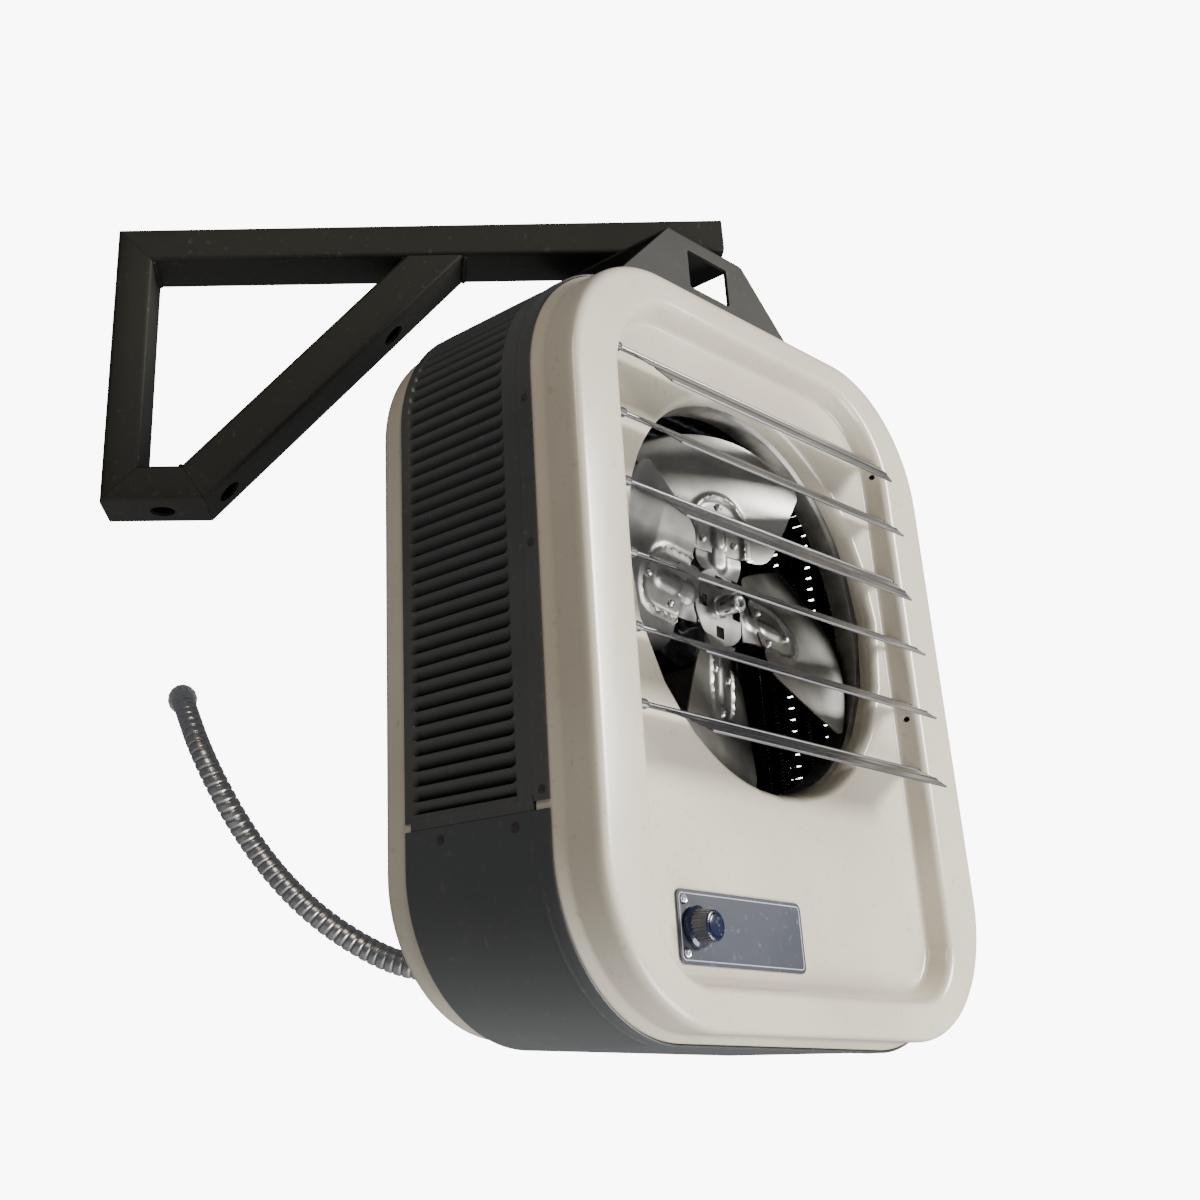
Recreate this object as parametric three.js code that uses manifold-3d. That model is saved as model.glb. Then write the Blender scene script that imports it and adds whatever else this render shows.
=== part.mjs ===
// Electric unit heater on a welded arm, in millimetres, +Z up, front towards -Y.
// Pieces are drawn about the middle of the front rim, and the last group moves them to the arm's mount.
import * as THREE from 'three';
import { mergeVertices } from 'three/addons/utils/BufferGeometryUtils.js';
import Module from 'manifold-3d';

const wasm = await Module();
wasm.setup();

// Driving dimensions of the casing
const CASE_WIDTH = 470;
const CASE_HEIGHT = 570;
const CASE_DEPTH = 210;
const CASE_CORNER = 112;
const CASE_SHEET = 1.2;
const SEAT = 0.3;
const CLEARANCE = 0.5;
const OVERRUN = 4;
const CORNER_STEPS = 6;

// Driving dimensions of the front and rear panels
const RIM_ROUND = 9;
const RIM_END = 30;
const FRONT_FLANGE = 37.5;
const REAR_FLANGE = 30;
const FLARE_DEPTH = 7;
const FLARE_RISE = 4.8;
const FRONT_LEDGE = 14;
const REAR_LEDGE = 5.5;
const RECESS_DEPTH = 18;
const RECESS_TOP_CORNER = 75;
const RECESS_BOTTOM_CORNER = 50;
const OUTLET_RADIUS = 152;
const OUTLET_MARGIN = 30;
const OUTLET_LIP = 14;
const OUTLET_HEIGHT = 45;

// Driving dimensions of the grille and the lower cover
const WRAP_SHEET = 1.2;
const SEAM_RISE = 144;
const SEAM_GAP = 6;
const HEM = 12;
const HEM_RISE = 0.6;
const GRILLE_PITCH = 11;
const GRILLE_BAND_FRONT = 29;
const GRILLE_BAND_REAR = 8.5;

// Driving dimensions of the fan, its motor and the louvers
const FAN_INSET = 9;
const FAN_PLANE = 66;
const BLADE_COUNT = 4;
const BLADE_PITCH_DEGREES = 21;
const BLADE_SHEET = 1;
const BLADE_ROOT = 50;
const FIRST_BLADE_DEGREES = -68;
const SPIDER_SHEET = 1.5;
const SPIDER_INSET = 47;
const HUB_RADIUS = 8;
const HUB_NOSE = 26;
const HUB_TAIL = 24;
const SHAFT_RADIUS = 4;
const SHAFT_SEAT = 18;
const MOTOR_RADIUS = 42;
const MOTOR_GAP = 14;
const MOTOR_STANDOFF = 42;
const MOTOR_BOLT_REACH = 28;
const BRIDGE_SHEET = 2;
const LOUVER_COUNT = 6;
const LOUVER_PITCH = 55.2;
const LOUVER_MARGIN = 52;
const LOUVER_CHORD = 44;
const LOUVER_DEPTH = 6;
const LOUVER_PIN = 1.6;
const LOUVER_TILT_DEGREES = [48, 41, 44, 33, 30, 30];

// Driving dimensions of the arm and the yoke
const ARM_TURN_DEGREES = 137;
const ARM_REACH = 485;
const ARM_TAIL = 70;
const ARM_DROP = 270.5;
const TUBE_FACE = 33;
const TUBE_DEPTH = 54;
const TUBE_WALL = 3;
const BRACE_FACE = 39;
const BRACE_GAP = 36;
const BRACE_RISE_DEGREES = 46.3;
const ACCESS_HOLE = 11;
const YOKE_HEIGHT = 83.9;
const YOKE_HALF = 50;
const YOKE_PLATE = 3;
const FOOT_MARGIN = 5;
const FOOT_WIDTH = 56;
const FOOT_DEPTH = 24;
const YOKE_SCREW_INSET = 14;
const SWIVEL_BOLT = 6;
const SWIVEL_GAP = 9.5;
const WELD_NUT = 11;
const WELD_NUT_HEIGHT = 10;

// Driving dimensions of the electric parts
const ELEMENT_MARGIN = 40;
const ELEMENT_BEND = 68;
const ELEMENT_HEADROOM = 45;
const ELEMENT_TAIL = 16;
const ELEMENT_ROWS = 3;
const ELEMENT_FIRST_ROW = 79;
const ELEMENT_ROW_PITCH = 33;
const ELEMENT_SHEATH = 5;
const ELEMENT_FIN = 12.5;
const FIN_LIFT = 24;
const FINS_PER_LEG = 12;
const BUSHING_RADIUS = 8;
const BUSHING_HEIGHT = 7;
const CONDUIT_RADIUS = 10.9;
const CONDUIT_BORE = 7.9;
const CONDUIT_RIB_PITCH = 8.4;
const CONDUIT_X = -20;
const CONDUIT_RISE = 72;
const CONNECTOR_RADIUS = 15;
const CONNECTOR_LENGTH = 27;
const THROAT_RADIUS = 10.6;
const NUT_THICKNESS = 3.6;
const STEM_RADIUS = 3.2;
const STEM_TAIL = 16;
const KNOB_RADIUS = 14;
const KNOB_HEIGHT = 17;
const KNOB_INSET = 18.5;
const PLATE_SHEET = 1.2;
const PLATE_WIDTH = 145;
const PLATE_HEIGHT = 49;
const PLATE_CORNER = 5;
const PLATE_SIDE_GAP = 39;
const PLATE_LIFT = 14;
const PLATE_SCREW_INSET = 7;

// Places that several pieces share
const HALF_WIDTH = CASE_WIDTH / 2;
const HALF_HEIGHT = CASE_HEIGHT / 2;
const RECESS_WIDTH = 2 * (OUTLET_RADIUS + OUTLET_MARGIN);
const RECESS_HEIGHT = CASE_HEIGHT - 2 * RIM_END;
const WRAP_FRONT = FRONT_FLANGE + CLEARANCE;
const WRAP_REAR = CASE_DEPTH - REAR_FLANGE - CLEARANCE;
const WRAP_INNER = FLARE_RISE + CLEARANCE;
const WRAP_OUTER = WRAP_INNER + WRAP_SHEET;
const WRAP_SEAM = SEAM_RISE - HALF_HEIGHT;
const COVER_TOP = WRAP_SEAM - SEAM_GAP;
const SLAT_FRONT = WRAP_FRONT + GRILLE_BAND_FRONT;
const SLAT_REAR = WRAP_REAR - GRILLE_BAND_REAR;
const RECESS_BACK = RECESS_DEPTH + CASE_SHEET;
const REAR_INNER = CASE_DEPTH - CASE_SHEET;
const DIVIDER_TOP = WRAP_SEAM - CASE_SHEET;
const SWIVEL_DEPTH = (WRAP_FRONT + WRAP_REAR) / 2;
const FOOT_UNDERSIDE = HALF_HEIGHT + WRAP_OUTER + 2 * SEAT;
const FOOT_FAR = HALF_WIDTH - CASE_CORNER - FOOT_MARGIN;
const FOOT_NEAR = FOOT_FAR - FOOT_WIDTH;
const YOKE_TOP = FOOT_UNDERSIDE + YOKE_HEIGHT;
const ARM_UNDERSIDE = YOKE_TOP + SWIVEL_GAP;
const TUBE_FLOOR = ARM_UNDERSIDE + TUBE_WALL;
const ARM_TOP = ARM_UNDERSIDE + TUBE_FACE;
const ARM_BOTTOM = ARM_TOP - ARM_DROP;
const FAN_RADIUS = OUTLET_RADIUS - FAN_INSET;
const SPIDER_REACH = FAN_RADIUS - SPIDER_INSET;
const SPIDER_LAYER = (BLADE_SHEET + SPIDER_SHEET) / 2 + SEAT;
const HUB_FRONT = FAN_PLANE - HUB_NOSE;
const HUB_REAR = FAN_PLANE + HUB_TAIL;
const MOTOR_FRONT = HUB_REAR + MOTOR_GAP;
const MOTOR_REAR = CASE_DEPTH - MOTOR_STANDOFF;
const SHAFT_END = MOTOR_REAR - SHAFT_SEAT;
const BRIDGE_FRONT = MOTOR_REAR + SEAT;
const LOUVER_HEIGHTS = Array.from(
  { length: LOUVER_COUNT }, (_, place) => RECESS_HEIGHT / 2 - LOUVER_MARGIN - place * LOUVER_PITCH);
const ELEMENT_REACH = HALF_WIDTH - ELEMENT_MARGIN;
const ELEMENT_TOP = HALF_HEIGHT - ELEMENT_HEADROOM;
const ELEMENT_FOOT = DIVIDER_TOP - ELEMENT_TAIL;
const ELEMENT_DEPTHS = Array.from(
  { length: ELEMENT_ROWS }, (_, place) => ELEMENT_FIRST_ROW + place * ELEMENT_ROW_PITCH);
const FIN_START = DIVIDER_TOP + FIN_LIFT;
const PLATE_FRONT = RECESS_DEPTH - SEAT - PLATE_SHEET;
const PLATE_LEFT = PLATE_SIDE_GAP - RECESS_WIDTH / 2;
const PLATE_BOTTOM = PLATE_LIFT - RECESS_HEIGHT / 2;
const KNOB_X = PLATE_LEFT + KNOB_INSET;
const KNOB_Z = PLATE_BOTTOM + PLATE_HEIGHT / 2;
const KNOB_REAR = PLATE_FRONT - CLEARANCE;
const STEM_END = RECESS_BACK + STEM_TAIL;
const CONDUIT_Z = CONDUIT_RISE - HALF_HEIGHT;
const CONDUIT_MOUTH = CASE_DEPTH + 2 * SEAT + CONNECTOR_LENGTH;

// Finishes
const finish = (color, roughness, metalness) =>
  new THREE.MeshStandardMaterial({ color, roughness, metalness });
const almond = finish('#cdc2a8', 0.45, 0);
const charcoal = finish('#3a3a38', 0.5, 0);
const blackPaint = finish('#26251f', 0.5, 0);
const aluminium = finish('#c3c6c9', 0.25, 1);
const zinc = finish('#9fa3a6', 0.35, 1);
const steel = finish('#75797c', 0.4, 1);
const slate = finish('#2b303c', 0.4, 0);
const blackPlastic = finish('#14161b', 0.35, 0);
const ceramic = finish('#e6e2d8', 0.5, 0);
const phenolic = finish('#2e2620', 0.5, 0);

// Booleans on closed geometries

function toSolid(geometry) {
  const bare = geometry.clone();
  for (const name of Object.keys(bare.attributes)) {
    if (name !== 'position') bare.deleteAttribute(name);
  }
  const merged = mergeVertices(bare);
  const corners = merged.index.array;
  const kept = [];
  for (let place = 0; place < corners.length; place += 3) {
    const [a, b, c] = corners.slice(place, place + 3);
    if (a !== b && b !== c && c !== a) kept.push(a, b, c);
  }
  return new wasm.Manifold(new wasm.Mesh({
    numProp: 3,
    vertProperties: merged.attributes.position.array,
    triVerts: new Uint32Array(kept),
  }));
}

function fromSolid(solid) {
  const mesh = solid.getMesh();
  const geometry = new THREE.BufferGeometry();
  geometry.setAttribute('position', new THREE.BufferAttribute(mesh.vertProperties, 3));
  geometry.setIndex(new THREE.BufferAttribute(mesh.triVerts, 1));
  geometry.computeVertexNormals();
  return geometry;
}

function join(geometries) {
  return fromSolid(geometries.map(toSolid).reduce((sum, next) => sum.add(next)));
}

function cut(geometry, tools) {
  return fromSolid(tools.map(toSolid).reduce((left, tool) => left.subtract(tool), toSolid(geometry)));
}

// The ends of a run on one side of the middle, with the left end first
function span(side, near, far) {
  return side > 0 ? [near, far] : [-far, -near];
}

// A closed geometry from points and triangles, with its faces turned outwards
function closedGeometry(points, index) {
  let volume = 0;
  for (let place = 0; place < index.length; place += 3) {
    const [a, b, c] = index.slice(place, place + 3).map((corner) => points[corner]);
    volume += a.dot(b.clone().cross(c));
  }
  if (volume < 0) index.reverse();
  const geometry = new THREE.BufferGeometry().setFromPoints(points);
  geometry.setIndex(index);
  geometry.computeVertexNormals();
  return geometry;
}

function bandBetween(index, here, there, size) {
  for (let step = 0; step < size; step += 1) {
    const next = (step + 1) % size;
    index.push(here + step, here + next, there + next);
    index.push(here + step, there + next, there + step);
  }
}

// Rings of equally many points joined into a skin that closes on itself
function loftLoop(rings) {
  const size = rings[0].length;
  const index = [];
  for (let band = 0; band < rings.length; band += 1) {
    bandBetween(index, band * size, ((band + 1) % rings.length) * size, size);
  }
  return closedGeometry(rings.flat(), index);
}

// Rings joined into a skin with a flat cap over each end ring
function loftCapped(rings) {
  const size = rings[0].length;
  const index = [];
  for (let band = 0; band < rings.length - 1; band += 1) {
    bandBetween(index, band * size, (band + 1) * size, size);
  }
  const end = (rings.length - 1) * size;
  for (let step = 1; step < size - 1; step += 1) {
    index.push(0, step + 1, step);
    index.push(end, end + step, end + step + 1);
  }
  return closedGeometry(rings.flat(), index);
}

// Outlines and extrusions

function polygon(points) {
  return new THREE.Shape(points.map(([x, y]) => new THREE.Vector2(x, y)));
}

function rectangle(left, right, bottom, top) {
  return polygon([[left, bottom], [right, bottom], [right, top], [left, top]]);
}

function disc(x, y, radius, sides) {
  const points = [];
  for (let side = 0; side < sides; side += 1) {
    const angle = 2 * Math.PI * (side + 0.5) / sides;
    points.push([x + radius * Math.cos(angle), y + radius * Math.sin(angle)]);
  }
  return polygon(points);
}

function roundedRectangle(left, right, bottom, top, radius) {
  const shape = new THREE.Shape();
  shape.moveTo(left + radius, bottom).lineTo(right - radius, bottom);
  shape.quadraticCurveTo(right, bottom, right, bottom + radius).lineTo(right, top - radius);
  shape.quadraticCurveTo(right, top, right - radius, top).lineTo(left + radius, top);
  shape.quadraticCurveTo(left, top, left, top - radius).lineTo(left, bottom + radius);
  shape.quadraticCurveTo(left, bottom, left + radius, bottom);
  return polygon(shape.getPoints(3).slice(0, -1).map((point) => [point.x, point.y]));
}

function withHoles(shape, holes) {
  shape.holes = holes;
  return shape;
}

// An outline swept from one place to another, with both places exact so that neighbours meet on one plane
function swept(shape, near, far, arrange) {
  const geometry = new THREE.ExtrudeGeometry(shape, { depth: 1, bevelEnabled: false });
  const places = geometry.attributes.position;
  for (let corner = 0; corner < places.count; corner += 1) {
    const along = places.getZ(corner) > 0 ? far : near;
    places.setXYZ(corner, ...arrange(places.getX(corner), places.getY(corner), along));
  }
  geometry.computeVertexNormals();
  return geometry;
}

// An outline in X and Y, swept from one height up to another
function extrudeUp(shape, bottom, top) {
  return swept(shape, bottom, top, (x, y, z) => [x, y, z]);
}

// An outline in X and Z, swept from one depth back to another
function extrudeBack(shape, front, rear) {
  return swept(shape, rear, front, (x, z, y) => [x, y, z]);
}

// An outline in Y and Z, swept from one place to another on its right
function extrudeRight(shape, left, right) {
  return swept(shape, left, right, (y, z, x) => [x, y, z]);
}

function block(left, right, front, rear, bottom, top) {
  return extrudeUp(rectangle(left, right, front, rear), bottom, top);
}

// A profile of [radius, place along the axis], turned about a line along Y
function turned(profile, sides) {
  const points = profile.map(([radius, place]) => new THREE.Vector2(radius, place));
  const lathe = new THREE.LatheGeometry(points, sides);
  const solid = toSolid(lathe);
  if (solid.volume() > 0) return fromSolid(solid);
  lathe.index.array.reverse();
  return fromSolid(toSolid(lathe));
}

function turnedBack(profile, x, z, sides) {
  return turned(profile, sides).translate(x, 0, z);
}

// A thin closed sheet about a surface of two shares, with rows and columns of facets
function sheetOn(surface, rows, columns, thickness) {
  const step = 0.01;
  const rings = [];
  for (let row = 0; row <= rows; row += 1) {
    const [front, rear] = [[], []];
    for (let column = 0; column <= columns; column += 1) {
      const [u, v] = [row / rows, column / columns];
      const along = surface(u + step, v).sub(surface(u - step, v));
      const across = surface(u, v + step).sub(surface(u, v - step));
      const normal = along.cross(across).normalize().multiplyScalar(thickness / 2);
      front.push(surface(u, v).add(normal));
      rear.push(surface(u, v).sub(normal));
    }
    rings.push([...front, ...rear.reverse()]);
  }
  const size = 2 * (columns + 1);
  const index = [];
  for (let band = 0; band < rows; band += 1) bandBetween(index, band * size, (band + 1) * size, size);
  const end = rows * size;
  for (let column = 0; column < columns; column += 1) {
    const [here, next] = [column, column + 1];
    const [facing, facingNext] = [size - 1 - column, size - 2 - column];
    index.push(here, facing, facingNext, here, facingNext, next);
    index.push(end + here, end + facingNext, end + facing, end + here, end + next, end + facingNext);
  }
  return closedGeometry(rings.flat(), index);
}

// Outlines of the casing, all with the same number of points

function roundedOutline(halfWidth, halfHeight, topRadius, bottomRadius) {
  const points = [];
  for (let corner = 0; corner < 4; corner += 1) {
    const radius = corner < 2 ? topRadius : bottomRadius;
    const x = (corner === 0 || corner === 3 ? 1 : -1) * (halfWidth - radius);
    const z = (corner < 2 ? 1 : -1) * (halfHeight - radius);
    for (let step = 0; step <= CORNER_STEPS; step += 1) {
      const angle = (corner + step / CORNER_STEPS) * Math.PI / 2;
      points.push(new THREE.Vector2(x + radius * Math.cos(angle), z + radius * Math.sin(angle)));
    }
  }
  return points;
}

function casingOutline(offset) {
  const radius = CASE_CORNER + offset;
  return roundedOutline(HALF_WIDTH + offset, HALF_HEIGHT + offset, radius, radius);
}

function casingRing(offset, depth) {
  return casingOutline(offset).map((point) => new THREE.Vector3(point.x, depth, point.y));
}

function recessRing(offset, depth) {
  const outline = roundedOutline(
    RECESS_WIDTH / 2 + offset, RECESS_HEIGHT / 2 + offset,
    RECESS_TOP_CORNER + offset, RECESS_BOTTOM_CORNER + offset);
  return outline.map((point) => new THREE.Vector3(point.x, depth, point.y));
}

function outletRing(offset, depth) {
  const count = 4 * (CORNER_STEPS + 1);
  const radius = OUTLET_RADIUS + offset;
  const points = [];
  for (let step = 0; step < count; step += 1) {
    const angle = 2 * Math.PI * (step + 0.5) / count;
    points.push(new THREE.Vector3(radius * Math.cos(angle), depth, OUTLET_HEIGHT + radius * Math.sin(angle)));
  }
  return points;
}

// Panel sections: a path of stations, each with a ring family, an offset from its outline and a depth

const CASING = { ring: casingRing, base: HALF_WIDTH };
const RECESS = { ring: recessRing, base: RECESS_WIDTH / 2 };
const OUTLET = { ring: outletRing, base: OUTLET_RADIUS };

function flangePath(flangeDepth, ledge) {
  const flat = flangeDepth - FLARE_DEPTH;
  const path = [
    { on: CASING, offset: FLARE_RISE, depth: flangeDepth + ledge },
    { on: CASING, offset: FLARE_RISE, depth: flangeDepth },
    { on: CASING, offset: FLARE_RISE * 3 / 4, depth: flat + FLARE_DEPTH * 2 / 3 },
    { on: CASING, offset: FLARE_RISE / 5, depth: flat + FLARE_DEPTH / 3 },
    { on: CASING, offset: 0, depth: flat },
  ];
  for (let step = 0; step <= 3; step += 1) {
    const angle = (step / 3) * Math.PI / 2;
    const offset = -RIM_ROUND * (1 - Math.cos(angle));
    path.push({ on: CASING, offset, depth: RIM_ROUND * (1 - Math.sin(angle)) });
  }
  return path;
}

// The same path moved to the back of the sheet
function backOf(path) {
  return path.map((station, place) => {
    const ends = [path[place - 1], station, path[place + 1]].filter((end) => end);
    const sum = new THREE.Vector2();
    for (let end = 1; end < ends.length; end += 1) {
      const run = ends[end].on.base + ends[end].offset - ends[end - 1].on.base - ends[end - 1].offset;
      const edge = new THREE.Vector2(run, ends[end].depth - ends[end - 1].depth).normalize();
      sum.add(new THREE.Vector2(edge.y, -edge.x));
    }
    const reach = CASE_SHEET * (ends.length - 1) / sum.lengthSq();
    return { on: station.on, offset: station.offset + sum.x * reach, depth: station.depth + sum.y * reach };
  });
}

// The quarter round of the outlet lip, or of a sheet that nests in it
function lipArc(radius) {
  return Array.from({ length: 4 }, (_, step) => {
    const angle = (step / 3) * Math.PI / 2;
    const offset = OUTLET_LIP - radius * Math.sin(angle);
    return { on: OUTLET, offset, depth: RECESS_DEPTH + OUTLET_LIP - radius * Math.cos(angle) };
  });
}

const ringAt = (station) => station.on.ring(station.offset, station.depth);

// Front panel: one stamping with a flared flange, a recessed field and a rolled outlet lip
function frontPanel() {
  const shoulder = 4;
  const wallLean = 5.5;
  const fillet = 4.5;
  const spareHole = 2.4;
  const spareDrop = 11;
  const path = [
    ...flangePath(FRONT_FLANGE, FRONT_LEDGE),
    { on: RECESS, offset: shoulder, depth: 0 },
    { on: RECESS, offset: shoulder / 4, depth: shoulder / 4 },
    { on: RECESS, offset: 0, depth: shoulder },
    { on: RECESS, offset: -wallLean, depth: RECESS_DEPTH - fillet },
    { on: RECESS, offset: -wallLean - fillet / 4, depth: RECESS_DEPTH - fillet / 4 },
    { on: RECESS, offset: -wallLean - fillet, depth: RECESS_DEPTH },
  ];
  path.push(...lipArc(OUTLET_LIP));
  const skin = loftLoop([...path, ...backOf(path).reverse()].map(ringAt));
  const reach = HALF_WIDTH - RIM_ROUND - OVERRUN;
  const holes = LOUVER_HEIGHTS.map((z) =>
    extrudeRight(disc(LOUVER_DEPTH, z, LOUVER_PIN + CLEARANCE, 6), -reach, reach));
  for (const z of [LOUVER_HEIGHTS[0], LOUVER_HEIGHTS[LOUVER_COUNT - 2]]) {
    holes.push(extrudeRight(disc(RECESS_DEPTH / 2, z - spareDrop, spareHole, 6), 0, reach));
  }
  holes.push(extrudeBack(disc(KNOB_X, KNOB_Z, STEM_RADIUS + CLEARANCE, 10), 0, RECESS_BACK + OVERRUN));
  return cut(skin, holes);
}

// Rear panel: a plain dish with the same flange, closed at the back
function rearPanel() {
  const path = flangePath(REAR_FLANGE, REAR_LEDGE);
  path.push({ on: CASING, offset: -2 * RIM_ROUND, depth: 0 });
  const stations = [...[...path].reverse(), ...backOf(path)];
  const rings = stations.map((station) => station.on.ring(station.offset, CASE_DEPTH - station.depth));
  const knockout = disc(CONDUIT_X, CONDUIT_Z, THROAT_RADIUS + CLEARANCE, 12);
  return cut(loftCapped(rings), [extrudeBack(knockout, REAR_INNER - OVERRUN, CASE_DEPTH + OVERRUN)]);
}

// Grille and lower cover: strips that wrap the casing, the upper one with slanted slats

function wrapStrip(upper, inner, outer, edge) {
  const half = (offset) => {
    const outline = casingOutline(offset);
    const middle = outline.length / 2;
    const corners = upper ? outline.slice(0, middle) : outline.slice(middle);
    const side = upper ? 1 : -1;
    const ends = [side, -side].map((sign) => new THREE.Vector2(sign * (HALF_WIDTH + offset), edge));
    return [ends[0], ...corners, ends[1]];
  };
  return new THREE.Shape([...half(outer), ...half(inner).reverse()]);
}

// The place and heading of a point on the grille's face, at a distance from the seam
function grilleStation(distance) {
  const side = HALF_HEIGHT - CASE_CORNER - WRAP_SEAM;
  const radius = CASE_CORNER + WRAP_OUTER;
  const bend = radius * Math.PI / 2;
  if (distance < side) return { x: HALF_WIDTH + WRAP_OUTER, z: WRAP_SEAM + distance, angle: 0 };
  const angle = Math.min((distance - side) / radius, Math.PI / 2);
  const past = Math.max(distance - side - bend, 0);
  const x = HALF_WIDTH - CASE_CORNER + radius * Math.cos(angle) - past;
  return { x, z: HALF_HEIGHT - CASE_CORNER + radius * Math.sin(angle), angle };
}

function grilleSlat(distance, side) {
  const rise = 2.7;
  const fall = 4.2;
  const thickness = 1.1;
  const { x, z, angle } = grilleStation(distance);
  const section = [[0, rise], [-thickness, rise], [-fall - thickness, -rise], [-fall, -rise]];
  const points = section.map(([out, up]) => [
    side * (x + out * Math.cos(angle) - up * Math.sin(angle)),
    z + out * Math.sin(angle) + up * Math.cos(angle),
  ]);
  if (side > 0) points.reverse();
  return extrudeBack(polygon(points), SLAT_FRONT, SLAT_REAR);
}

function intakeGrille() {
  const firstSlat = 11;
  const sideLap = 14;
  const front = extrudeBack(wrapStrip(true, WRAP_INNER, WRAP_OUTER, WRAP_SEAM), WRAP_FRONT, SLAT_FRONT);
  const rolled = wrapStrip(true, WRAP_INNER, WRAP_OUTER + HEM_RISE, WRAP_SEAM);
  const pieces = [
    front,
    extrudeBack(rolled, WRAP_FRONT, WRAP_FRONT + HEM),
    extrudeBack(wrapStrip(true, WRAP_INNER, WRAP_OUTER, WRAP_SEAM), SLAT_REAR, WRAP_REAR),
  ];
  for (const side of [-1, 1]) {
    const [left, right] = span(side, HALF_WIDTH + WRAP_INNER, HALF_WIDTH + WRAP_OUTER);
    const lap = [WRAP_FRONT + sideLap, WRAP_REAR - sideLap / 2];
    pieces.push(block(left, right, ...lap, COVER_TOP + SEAT, WRAP_SEAM + firstSlat / 2));
  }
  const length = HALF_HEIGHT - CASE_CORNER - WRAP_SEAM + (CASE_CORNER + WRAP_OUTER) * Math.PI / 2
    + HALF_WIDTH - CASE_CORNER;
  for (let distance = firstSlat; distance < length - GRILLE_PITCH / 2; distance += GRILLE_PITCH) {
    pieces.push(grilleSlat(distance, -1), grilleSlat(distance, 1));
  }
  return join(pieces);
}

function lowerCover() {
  return join([
    extrudeBack(wrapStrip(false, WRAP_INNER, WRAP_OUTER, COVER_TOP), WRAP_FRONT, WRAP_REAR),
    extrudeBack(wrapStrip(false, WRAP_INNER, WRAP_OUTER + HEM_RISE, COVER_TOP), WRAP_FRONT, WRAP_FRONT + HEM),
  ]);
}

// Yoke: one bent plate over the casing's top, hung from the arm's swivel bolt

function yokePlate(front) {
  const footMargin = 13;
  const windowHalf = 28;
  const windowSill = 32;
  const windowHead = 15;
  const bottomHalf = FOOT_FAR + footMargin;
  const outline = polygon([
    [-bottomHalf, FOOT_UNDERSIDE], [bottomHalf, FOOT_UNDERSIDE],
    [bottomHalf, FOOT_UNDERSIDE + 2 * YOKE_PLATE], [YOKE_HALF, YOKE_TOP], [-YOKE_HALF, YOKE_TOP],
    [-bottomHalf, FOOT_UNDERSIDE + 2 * YOKE_PLATE],
  ]);
  const opening = rectangle(-windowHalf, windowHalf, FOOT_UNDERSIDE + windowSill, YOKE_TOP - windowHead);
  return extrudeBack(withHoles(outline, [opening]), front, front + YOKE_PLATE);
}

function swivelYoke() {
  const [front, rear] = [WRAP_FRONT + 2 * CLEARANCE, WRAP_REAR - YOKE_PLATE];
  const pieces = [yokePlate(front), yokePlate(rear)];
  pieces.push(block(-YOKE_HALF, YOKE_HALF, front, rear + YOKE_PLATE, YOKE_TOP - YOKE_PLATE, YOKE_TOP));
  for (const side of [-1, 1]) {
    const [left, right] = span(side, FOOT_NEAR, FOOT_FAR);
    pieces.push(block(left, right, front, front + FOOT_DEPTH, FOOT_UNDERSIDE, FOOT_UNDERSIDE + YOKE_PLATE));
    pieces.push(block(left, right, rear + YOKE_PLATE - FOOT_DEPTH, rear + YOKE_PLATE,
      FOOT_UNDERSIDE, FOOT_UNDERSIDE + YOKE_PLATE));
  }
  const bore = extrudeUp(disc(0, SWIVEL_DEPTH, SWIVEL_BOLT + CLEARANCE, 12),
    YOKE_TOP - YOKE_PLATE - OVERRUN, YOKE_TOP + OVERRUN);
  return cut(join(pieces), [bore]);
}

function yokeScrew() {
  const head = 6;
  const rise = 4;
  const foot = FOOT_UNDERSIDE + YOKE_PLATE + SEAT;
  return extrudeUp(disc(0, 0, head, 6), foot, foot + rise);
}

function swivelWasher() {
  const radius = 20;
  const hole = disc(0, SWIVEL_DEPTH, SWIVEL_BOLT + CLEARANCE, 12);
  const ring = withHoles(disc(0, SWIVEL_DEPTH, radius, 16), [hole]);
  return extrudeUp(ring, YOKE_TOP + SEAT, ARM_UNDERSIDE - SEAT);
}

function swivelBolt() {
  const head = 10;
  const rise = 7;
  const seat = YOKE_TOP - YOKE_PLATE - SEAT;
  const tail = TUBE_FLOOR + WELD_NUT_HEIGHT + OVERRUN;
  return join([
    extrudeUp(disc(0, SWIVEL_DEPTH, head, 6), seat - rise, seat),
    extrudeUp(disc(0, SWIVEL_DEPTH, SWIVEL_BOLT, 12), seat - rise / 2, tail),
  ]);
}

// Arm: four rectangular tubes with mitred ends, drawn along X from the swivel and turned as a group

function armTube(corners, start, end, face, holes = []) {
  const outer = extrudeBack(polygon(corners), -TUBE_DEPTH / 2, TUBE_DEPTH / 2);
  const run = new THREE.Vector2(end[0] - start[0], end[1] - start[1]);
  const [halfDepth, halfFace] = [TUBE_DEPTH / 2 - TUBE_WALL, face / 2 - TUBE_WALL];
  const bore = block(-OVERRUN, run.length() + OVERRUN, -halfDepth, halfDepth, -halfFace, halfFace);
  bore.rotateY(-run.angle()).translate(start[0], 0, start[1]);
  return cut(outer, [bore, ...holes]);
}

// Where the brace's edges meet the foot bar and the top bar
const braceAngle = THREE.MathUtils.degToRad(BRACE_RISE_DEGREES);
const BRACE_FOOT = ARM_REACH - TUBE_FACE - BRACE_GAP;
const FOOT_TOP = ARM_BOTTOM + TUBE_FACE;
const BRACE_RUN = (ARM_UNDERSIDE - FOOT_TOP) / Math.tan(braceAngle);
const BRACE_TOP_WIDTH = BRACE_FACE / Math.sin(braceAngle);
const BRACE_TOE = BRACE_FOOT - (BRACE_TOP_WIDTH - TUBE_FACE / Math.tan(braceAngle));

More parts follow.
